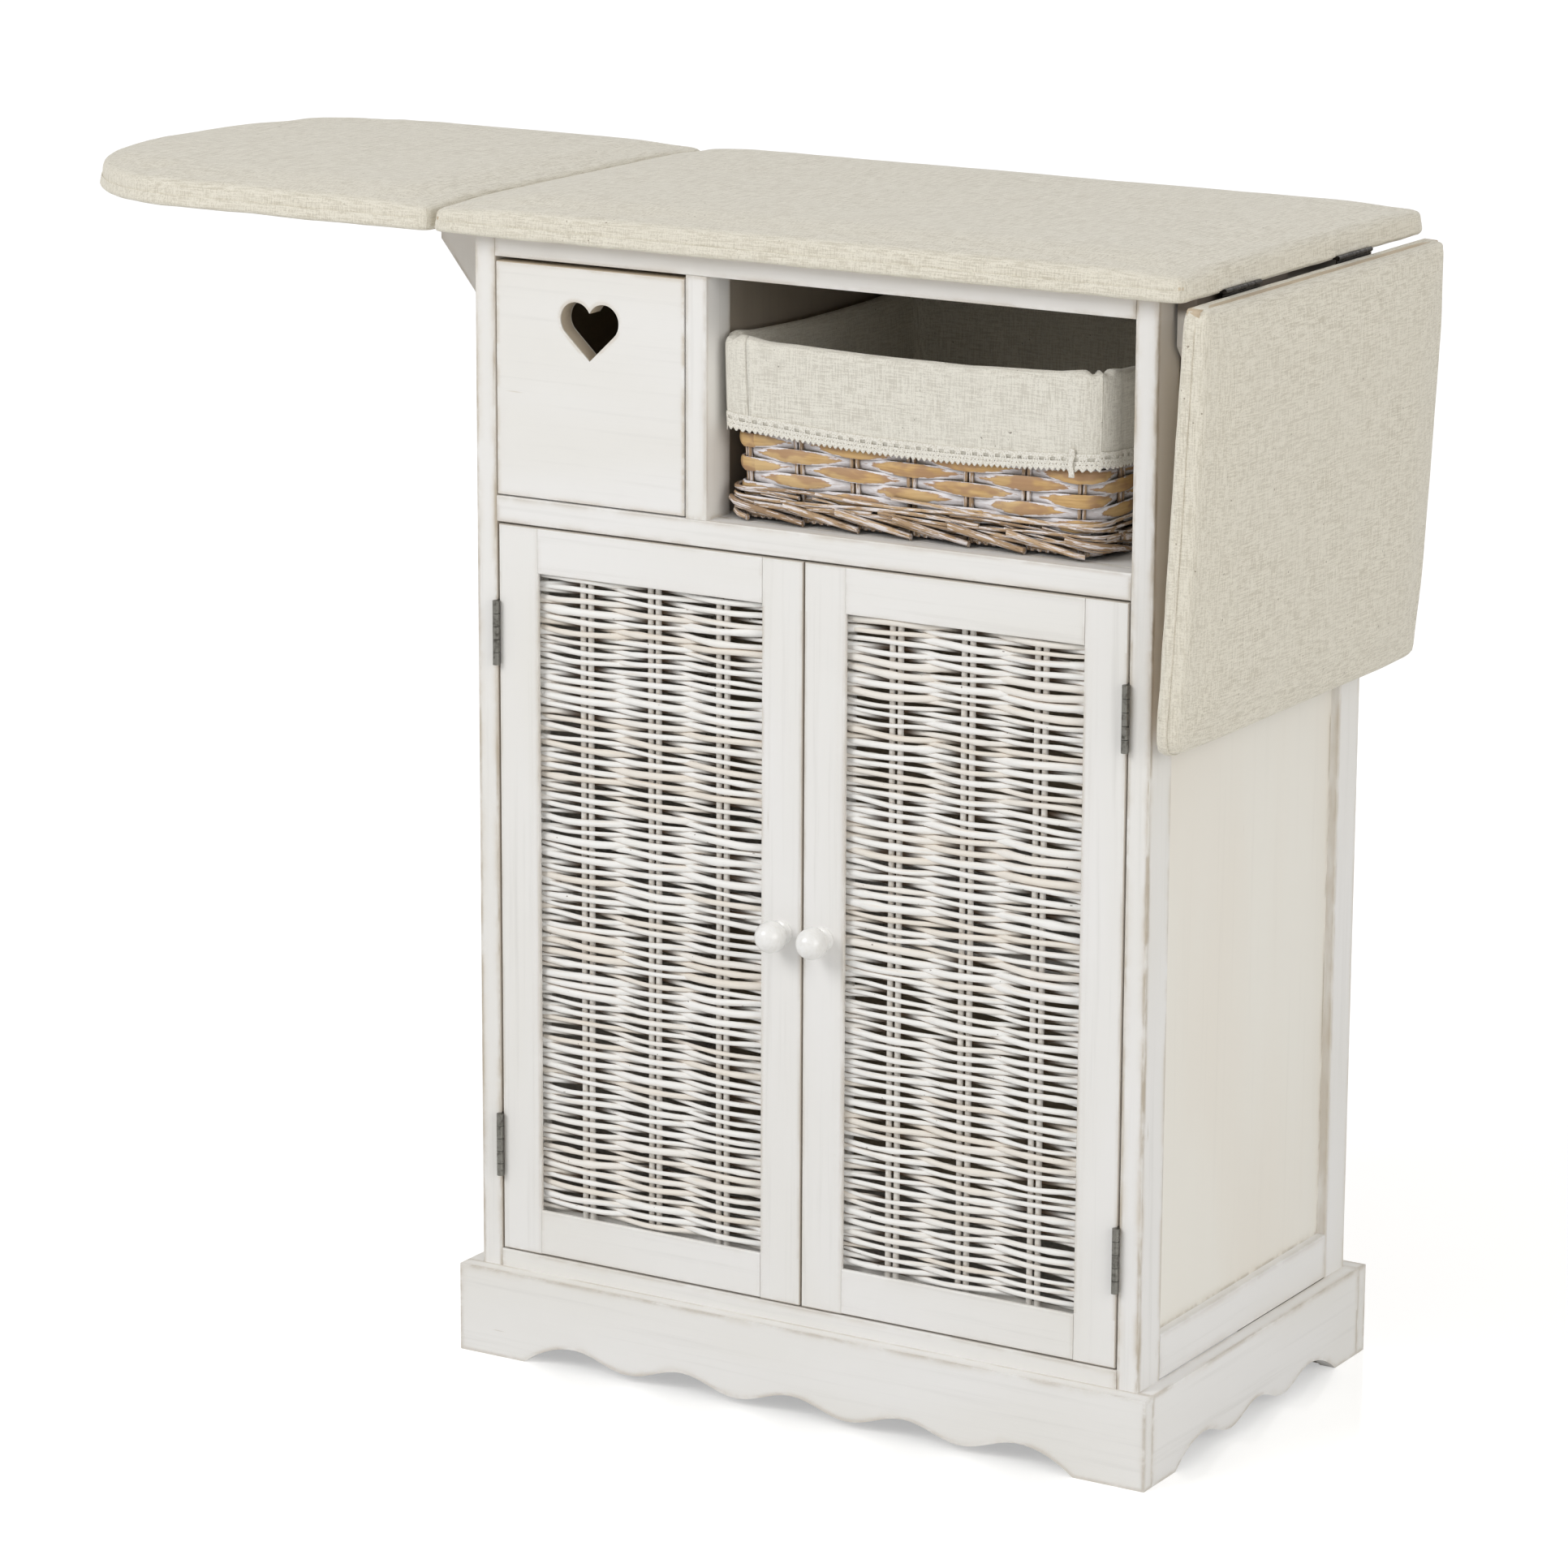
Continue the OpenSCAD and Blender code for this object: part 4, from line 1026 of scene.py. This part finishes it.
# %% [markdown]
# The basket is woven from wide split willow round thin round stakes. Split willow is flat on the inside
# and rounded on the outside. White paint was brushed on and rubbed off again, so the honey-coloured wood
# shows where a strip bulges out in front of a stake, and white stays where it dips behind one. An
# attribute on the points, the bulge, tells the material how far out each place of a strip stands.

# %% Honey willow
def honey_willow_finish():
    """Split willow: honey wood where it bulges out, a brown rim round that, worn white between, and painted
    shade in the crevices.
    """
    start_finish("honey_willow", 0.5, Specular_IOR_Level=0.4)
    bulge = tint_in("bulge")
    brush = streaks_along((110, 600, 420), 4)
    wood = streaks_along((30, 600, 600))
    honey = coat((0.66, 0.43, 0.185), (0.50, 0.30, 0.115), wood, 0.3, 0.7)
    pale = grain((25, 25, 25), 2, 2.9)
    honey = coat(honey, (0.64, 0.47, 0.25), pale, 0.35, 0.7, 0.55)
    stain = streaks_along((36, 90, 90), 2)
    honey = coat(honey, (0.38, 0.215, 0.12), stain, 0.44, 0.60, 0.75)
    whiter_below = spread(place_of()[2], 0.726, 0.702, 0, 0.55)
    ragged = times(minus(brush, 0.5), 2.0)
    edge = plus(minus(bulge, whiter_below), ragged)
    white = coat((0.84, 0.82, 0.84), (0.68, 0.63, 0.625), brush, 0.35, 0.65)
    scratches = streaks_along((60, 900, 700))
    white = coat(white, (0.36, 0.25, 0.18), scratches, 0.60, 0.74, 0.7)
    outline = coat(white, (0.42, 0.27, 0.19), edge, -0.90, -0.72)
    colour = coat(outline, honey, edge, -0.74, -0.58)
    # Dark in the crevices: painted shade.
    colour = coat(colour, (0.16, 0.11, 0.08), crevices(0.005), 0.5, 0.12, 0.6)
    return end_finish(colour, brush, 0.0003)


def brown_willow_finish():
    """Thin rods in their bark, with white wash left on them, and near-black painted shade in the gaps
    between.
    """
    start_finish("brown_willow", 0.6, Specular_IOR_Level=0.35)
    own = tint_in("tint")
    bark = streaks_along((60, 620, 620), 4)
    colour = mix(own, (0.33, 0.215, 0.125), (0.58, 0.405, 0.24))
    colour = coat(colour, (0.15, 0.085, 0.05), bark, 0.38, 0.30)
    wash = plus(bark, times(own, 0.06))
    colour = coat(colour, (0.80, 0.755, 0.755), wash, 0.525, 0.59, 0.9)
    # Near black in the crevices: painted shade.
    colour = coat(colour, (0.035, 0.024, 0.017), crevices(0.007), 0.72, 0.30, 0.95)
    return end_finish(colour, bark, 0.0003)


honey_willow = honey_willow_finish()
brown_willow = brown_willow_finish()

# %% The way round the basket
BASKET = Vector((0.0805, FRONT + 0.152, 0))
FOOT, RIM_TOP = 0.6783, 0.8143
HALF_W, HALF_D, CORNER = 0.1526, 0.1351, 0.022
FLARE = 0.005 / (RIM_TOP - FOOT)
LONG, DEEP, BEND = 2 * (HALF_W - CORNER), 2 * (HALF_D - CORNER), math.pi / 2 * CORNER
ROUND = 2 * (LONG + DEEP) + 4 * BEND


def round_basket(s, out, z):
    """The point at distance s round the basket's foot, moved out from the wall, at a height. s is 0 at the
    left end of the front and grows to the right."""
    s %= ROUND
    side = 0
    for length in (LONG, DEEP, LONG, DEEP):
        if s <= length + BEND:
            break
        s -= length + BEND
        side += 1
    length = (LONG, DEEP)[side % 2]
    half = ((HALF_W, HALF_D), (HALF_D, HALF_W))[side % 2]
    turn = max(0.0, s - length) / CORNER
    radius = max(0.001, CORNER + out)
    corner = Vector((half[0] - CORNER, -(half[1] - CORNER)))
    if turn > 0:
        local = corner + Vector((math.sin(turn), -math.cos(turn))) * radius
    else:
        local = Vector((s - length / 2, -half[1] - out))
    grow = FLARE * (z - FOOT)
    local.x += math.copysign(grow, local.x) * min(1, abs(local.x) / (half[0] * 0.5))
    local.y -= grow
    angle = side * math.pi / 2
    x = local.x * math.cos(angle) - local.y * math.sin(angle)
    y = local.x * math.sin(angle) + local.y * math.cos(angle)
    return BASKET + Vector((x, y, z))


def on_side(s):
    """How far s is along its side, 0 to 1 from corner to corner, and its distance from the nearest corner."""
    s = (s + BEND / 2) % ROUND
    side = 0
    while s > (LONG, DEEP)[side % 2] + BEND and side < 3:
        s -= (LONG, DEEP)[side % 2] + BEND
        side += 1
    length = (LONG, DEEP)[side % 2] + BEND
    return min(1.0, s / length), max(0.0, min(s, length - s))


print("Once round the basket is", round(ROUND, 3), "metres")

# %% Strips and stakes
STAKES, FIRST_STAKE = 24, 0.778
STAKE_GAP = ROUND / STAKES
LOWEST_ROW, ROW_PITCH, ROWS = 0.7023, 0.0092, 11
WALL = -0.0046
STRIP_HALF, STRIP_THICK, STRIP_WAVE = 0.0052, 0.0020, 0.0031
STEPS_PER_STAKE, RIM_FALL = 9, 1.82
STAKE_LENGTH, STAKE_THICK, STAKE_APART = 0.128, 0.0019, 0.0021


def in_front(s, row):
    """1 where a strip bulges in front of a stake, -1 where it dips behind one."""
    return math.cos(math.pi * (s / STAKE_GAP - FIRST_STAKE)) * (1 if row % 2 else -1)


def strips():
    """The wall of the basket: one strip, rounded outside and flat inside, copied to each row."""
    strip = straight_rod(ROUND, STRIP_HALF, 10, STAKES * STEPS_PER_STAKE - 1)
    for point in strip.data.vertices:
        if point.co.y < 0:
            point.co.y = -STRIP_THICK * math.sqrt(max(0, 1 - (point.co.z / STRIP_HALF) ** 2))
        else:
            point.co.y *= 0.10
    seeds = [random.Random(40 + row).uniform(0, 70) for row in range(ROWS)]

    def bend_for(row):
        def bend(point):
            wave = in_front(point.x, row)
            z = LOWEST_ROW + row * ROW_PITCH + 0.0010 * wobble(point.x * 20, seeds[row], 0)
            wide = 0.93 + 0.15 * wave + 0.05 * wobble(point.x * 30, seeds[row], 9)
            return round_basket(point.x, WALL + STRIP_WAVE * wave - point.y, z + point.z * wide)
        return bend

    bulges = [
        in_front(p.co.x, row) - RIM_FALL * (p.co.z / STRIP_HALF) ** 2
        for row in range(ROWS) for p in strip.data.vertices
    ]
    weave = bent_copies(strip, [bend_for(row) for row in range(ROWS)])
    tint_of(weave, "bulge", bulges)
    smooth(weave, 50)
    finish_piece(weave, "basket_strips", honey_willow, "basket")
    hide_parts("basket_body", "basket_border")


def basket_stakes():
    """Pairs of round stakes inside the wall's weave."""
    stake = straight_rod(STAKE_LENGTH, STAKE_THICK, 7, 5)
    pair = -STAKE_APART, STAKE_APART
    standing = [(k + FIRST_STAKE) * STAKE_GAP + half for k in range(STAKES) for half in pair]
    stakes = bent_copies(stake, [
        lambda p, at=at: round_basket(at + p.y, WALL + p.z, FOOT + 0.003 + p.x) for at in standing
    ])
    tint_of(stakes, "tint", [0.25] * len(stakes.data.vertices))
    smooth(stakes, 60)
    finish_piece(stakes, "basket_stakes", brown_willow, "basket")


strips()
basket_stakes()

# %% [markdown]
# The foot of the basket is finished with a thick border: many thin rods laid over and under each other,
# each one starting low and outside and ending higher and further in, so that the border looks plaited.
# Every rod is a copy of one straight rod, laid along the wall at a slant.

# %% Border of thin rods
TRACKS, LENGTHS, BEHIND = (0.6905, 0.6945, 0.6980, 0.7012, 0.7042), 5, -0.0066
SLANTED = (  # start before the stub, heights, distances out, least and most thickness, wave
    (0.004, (0.6965, 0.6835), (0.0018, -0.0008), 0.8, 1.1, 0.0006),
    (0.022, (0.7000, 0.6870), (-0.0005, 0.0006), 0.7, 1.0, 0.0008),
)


def laid_rods(length, radius, sides, cuts, paths, chance):
    """Rods along the wall. A path gives the start, the heights, the distances out and the thickness."""
    rod = straight_rod(length, radius, sides, cuts)
    per_rod = len(rod.data.vertices)

    def lay(start, heights, outs, fat, sway, amount):
        def bend(point):
            t = point.x / length
            z = heights[0] + (heights[1] - heights[0]) * t + amount * math.sin(7 * t + sway)
            corner = max(0.0, 1 - on_side(start + point.x)[1] / 0.020)
            away = outs[0] + (outs[1] - outs[0]) * t + 0.0035 * corner + point.y * fat
            return round_basket(start + point.x, away, z + point.z * fat)
        return bend

    rods = bent_copies(rod, [lay(*path) for path in paths])
    tint_of(rods, "tint", [tint for tint in (chance.random() for _ in paths) for _ in range(per_rod)])
    smooth(rods, 60)
    return rods


def border():
    """Cut stubs outside, slanted rods over them, level rods in five tracks, and rods behind all, which the
    finish's painted shade makes dark.
    """
    chance = random.Random(5)
    stubs, slanted, level = [], [], []
    for k in range(STAKES):
        start = (k + FIRST_STAKE) * STAKE_GAP - 0.010 + chance.uniform(-0.002, 0.002)
        stubs.append((start, (0.6937, 0.6812), (0.0046, 0.0008), chance.uniform(0.95, 1.15), 0, 0))
        for back, heights, outs, thin, thick, amount in SLANTED:
            fat, sway = chance.uniform(thin, thick), chance.uniform(0, 6)
            slanted.append((start - back, heights, outs, fat, sway, amount))
    for track, height in enumerate(TRACKS):
        for k in range(LENGTHS):
            start = (k + 0.37 * track) * ROUND / LENGTHS + chance.uniform(-0.03, 0.03)
            middle = height + chance.uniform(-0.0016, 0.0016)
            outs = chance.uniform(0, 0.002), chance.uniform(-0.001, 0.0022)
            fat, sway = chance.uniform(0.75, 1.15), chance.uniform(0, 6)
            level.append((start, (middle + 0.0015, middle - 0.0015), outs, fat, sway, 0.0020))
    # The rods behind lie deep in the crevice, so the finish's painted shade makes them dark.
    inner = [
        (k * ROUND / LENGTHS, (height, height), (BEHIND, BEHIND), 1.5, 0, 0)
        for k in range(LENGTHS) for height in (0.683, 0.688, 0.693, 0.698)
    ]
    pieces = [
        laid_rods(ROUND / LENGTHS + 0.002, 0.0017, 6, 20, inner, chance),
        laid_rods(0.060, 0.0026, 7, 8, stubs, chance),
        laid_rods(0.090, 0.0016, 6, 11, slanted, chance),
        laid_rods(ROUND / LENGTHS + 0.02, 0.00155, 6, 40, level, chance),
    ]
    joined(*pieces)
    finish_piece(pieces[0], "basket_foot_border", brown_willow, "basket")


border()

# %% Bottom of the basket
SLATS, SLATS_WIDE, SLAT_LONG, SLAT_RADIUS = 46, 0.282, 0.262, 0.0024


def basket_bottom():
    """A floor of thin rods that lie side by side."""
    slat = straight_rod(SLAT_LONG, SLAT_RADIUS, 6, 7)
    corner = BASKET + Vector((-SLATS_WIDE / 2, -SLAT_LONG / 2, FOOT + 0.0045))
    slats = bent_copies(slat, [
        lambda p, x=SLATS_WIDE * k / (SLATS - 1): corner + Vector((x + p.y, p.x, p.z)) for k in range(SLATS)
    ])
    tint_of(slats, "tint", [0.5] * len(slats.data.vertices))
    smooth(slats, 60)
    finish_piece(slats, "basket_bottom", brown_willow, "basket")


basket_bottom()

# %% [markdown]
# The liner is one piece of cloth: it covers the basket's floor and walls, turns over the rim and hangs
# down outside. It is made from a flat cloth that is bent round the basket: going up the cloth leads from
# the floor up the inner wall, over the rim and down outside. The rim sags a little between the corners.

# %% Liner
LINER_LOW = 0.7537
LINER_PATH = (  # distance out from the wall, height
    (-0.0100, FOOT + 0.0095), (-0.0098, 0.700), (-0.0096, 0.730), (-0.0094, 0.760), (-0.0093, 0.785),
    (-0.0090, 0.802), (-0.0078, 0.8110), (-0.0052, 0.8148), (-0.0022, 0.8155), (0.0006, 0.8140),
    (0.0018, 0.8095), (0.0020, 0.800), (0.0022, 0.790), (0.0024, 0.778), (0.0026, 0.768), (0.0026, LINER_LOW),
)


def path_point(t):
    """The cross-section of the liner at t, 0 at the floor and 1 at the outer hem."""
    place = t * (len(LINER_PATH) - 1)
    k = min(int(place), len(LINER_PATH) - 2)
    a, b = Vector(LINER_PATH[k]), Vector(LINER_PATH[k + 1])
    return a.lerp(b, place - k)


def hem_drop(s):
    """How much lower the outer hem hangs: least at the corners."""
    share = on_side(s)[0]
    return 0.0006 + 0.0016 * share + 0.0068 * math.sin(math.pi * share)


def flap_out(s, t):
    """How far the outer flap stands out: folds, and cloth pulled square at the corners."""
    slow = wobble(s * 7, 1.5, 0)
    fold = wobble(s * 24, 1.6 * t, 4)
    corner = max(0.0, 1 - on_side(s)[1] / 0.022)
    return 0.0008 * max(-0.5, slow) + 0.0011 * max(-0.6, fold) + 0.0052 * corner


def liner_bend(point):
    """Where a point of the flat cloth comes to lie, with folds, a sagging rim and notches at the corners."""
    s, t = point.x, point.z
    out, z = path_point(t)
    share, away = on_side(s)
    out += flap_out(s, t) * ease((t - 0.40) / 0.25)
    fold = wobble(s * 26, 2 * t, 4)
    if t < 0.5:
        out -= 0.0035 * (0.5 + fold) * math.sin(math.pi * t * 2)
    high = ease((z - 0.785) / 0.02)
    notch = 0.0045 * math.exp(-((away - 0.004) / 0.004) ** 2)
    sag, lift = 0.0042 * math.sin(math.pi * share), 0.0030 * max(0, 1 - away / 0.03)
    z -= high * (sag - lift + 0.0010 * max(0, fold))
    z -= ease((z - 0.806) / 0.006) * notch
    z -= ease((t - 0.68) / 0.32) * hem_drop(s)
    return round_basket(s, out, z)


def corner_middles():
    """The distances round the basket at which its four corners have their middles."""
    places, s = [], -BEND / 2
    for length in (LONG, DEEP, LONG, DEEP):
        s += length + BEND
        places.append(s)
    return places


CLOTH_THICK = 0.0009


def liner():
    """The cloth: bent round the basket, closed to a tube, floored, and ridged at the corners that show."""
    cloth = flat_cloth(ROUND, 1.0, 420, 45)
    for point in cloth.data.vertices:
        point.co = liner_bend(point.co)
    weld(cloth, 0.0002)

    def at_the_floor(edge):
        return edge.is_boundary and max(p.co.z for p in edge.verts) < FOOT + 0.02

    edited(cloth, "EDGE", at_the_floor, bpy.ops.mesh.edge_face_add)
    turn_outwards(cloth)
    applied(cloth, "SOLIDIFY", thickness=CLOTH_THICK, offset=0)
    ridge = straight_rod(0.40, 0.0006, 5, 24)

    def down_corner(s):
        def bend(point):
            place = liner_bend(Vector((s + point.y, 0, 0.60 + point.x)))
            away = (round_basket(s, 0.01, 0.75) - round_basket(s, 0, 0.75)).normalized()
            return place + away * (point.z + 0.0005)
        return bend

    ridges = bent_copies(ridge, [down_corner(s) for s in corner_middles()[:3]])
    joined(cloth, ridges)
    bpy.ops.object.shade_smooth()
    finish_piece(cloth, "basket_liner_cloth", liner_linen, "basket")
    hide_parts("basket_liner")


liner()

# %% [markdown]
# A strip of cotton crochet lace is sewn to the liner's hem. One repeat of it has a plain heading, a round
# hole, five small holes and a scallop. The repeat is modelled flat, once, and bent round the basket.

# %% Lace
LACE_HIGH, REPEATS, THREAD = 0.0130, 124, 0.0007
LOOSE_END = 0.2625  # distance round the basket, near the right front corner
HOLES = (  # middle and half size, as shares of the repeat's width and height
    (0, 0.68, 0.22, 0.115), (-0.39, 0.62, 0.055, 0.045), (0.39, 0.62, 0.055, 0.045),
    (-0.25, 0.38, 0.055, 0.045), (0.04, 0.38, 0.055, 0.045), (0.32, 0.38, 0.055, 0.045),
)


def lace_repeat(width):
    """One repeat of the lace, flat in x and z: a grid whose faces are taken out where the holes are."""
    cloth = flat_cloth(width, LACE_HIGH, 14, 17)

    def open_there(face):
        middle = face.calc_center_median()
        x, z = middle.x / width - 0.5, middle.z / LACE_HIGH
        hole = any(((x - at) / wide) ** 2 + ((z - up) / high) ** 2 < 1 for at, up, wide, high in HOLES)
        return hole or z < 0.09 * (1 - math.cos(4 * math.pi * x))

    edited(cloth, "FACE", open_there, bpy.ops.mesh.delete, type="FACE")
    return cloth


def hem_line(s, out, up):
    """A point just outside the liner's lower hem."""
    return round_basket(s, 0.0026 + flap_out(s, 1.0) + out, LINER_LOW - hem_drop(s) + up)


def lace():
    """The strip of lace along the liner's hem, and its loose end near the right corner."""
    width = ROUND / REPEATS
    repeat = lace_repeat(width)

    def bend_for(k):
        def bend(point):
            s = k * width + point.x
            fine = wobble(s * 60, point.z * 90, 0)
            return hem_line(s, 0.0009 + 0.0004 * fine, point.z - LACE_HIGH + 0.0065)
        return bend

    strip = bent_copies(repeat, [bend_for(k) for k in range(REPEATS)])
    weld(strip, 0.00012)
    turn_outwards(strip)
    applied(strip, "SOLIDIFY", thickness=THREAD, offset=0)
    end = bent_copies(straight_rod(0.021, 0.0019, 8, 9), [
        lambda p: hem_line(LOOSE_END + p.y + 0.0006 * math.sin(p.x * 400), 0.0024 + p.z * 0.35, 0.0105 - p.x),
    ])
    joined(strip, end)
    bpy.ops.object.shade_smooth()
    finish_piece(strip, "basket_lace_strip", lace_cotton, "basket")
    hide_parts("basket_lace")


def lace_finish():
    """Cream cotton whose knots are cells of a Voronoi pattern, one to the millimetre."""
    start_finish("lace_cotton", 0.9, Specular_IOR_Level=0.15)
    place = add("TexCoord").outputs["Object"]
    knots = add("TexVoronoi", Scale=1000.0, Vector=place).outputs["Distance"]
    colour = coat((0.86, 0.835, 0.765), (0.68, 0.645, 0.56), knots, 0.35, 0.8)
    return end_finish(colour, knots, 0.0003)


lace_cotton = lace_finish()
lace()

# %% [markdown]
# The knobs are turned from wood on a lathe. Spin does the same: the outline of half a knob is drawn as a
# line of points and swept round its own axis.

# %% Turned knobs
KNOB_X, KNOB_Z = 0.01775, 0.374
KNOB_OUTLINE = (  # distance from the axis, place along it
    (0.0, 0.0), (0.0092, 0.0), (0.0094, -0.0008), (0.0090, -0.0020), (0.0066, -0.0026), (0.0056, -0.0040),
    (0.0064, -0.0056), (0.0094, -0.0078), (0.0114, -0.0108), (0.0121, -0.0145), (0.0117, -0.0185),
    (0.0100, -0.0225), (0.0074, -0.0256), (0.0042, -0.0275), (0.0, -0.0281),
)


def turned_knob(name, x, body, node):
    """A knob, spun from its outline and set on its door."""
    mesh = bpy.data.meshes.new(name)
    steps = [(k, k + 1) for k in range(len(KNOB_OUTLINE) - 1)]
    mesh.from_pydata([(r, y, 0) for r, y in KNOB_OUTLINE], steps, [])
    knob = new_object(name, mesh)
    spin = dict(steps=28, angle=2 * math.pi, center=(0, 0, 0), axis=(0, 1, 0))
    edited(knob, "VERT", None, bpy.ops.mesh.spin, **spin)
    weld(knob, 0.00005)
    turn_outwards(knob)
    knob.data.transform(Matrix.Translation((x, FRONT, KNOB_Z)))
    smooth(knob, 50)
    finish_piece(knob, name, knob_gloss, body)
    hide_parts(node)


turned_knob("left_knob", -KNOB_X, "left_door", "left_door_knob")
turned_knob("right_knob", KNOB_X, "right_door", "right_door_knob")
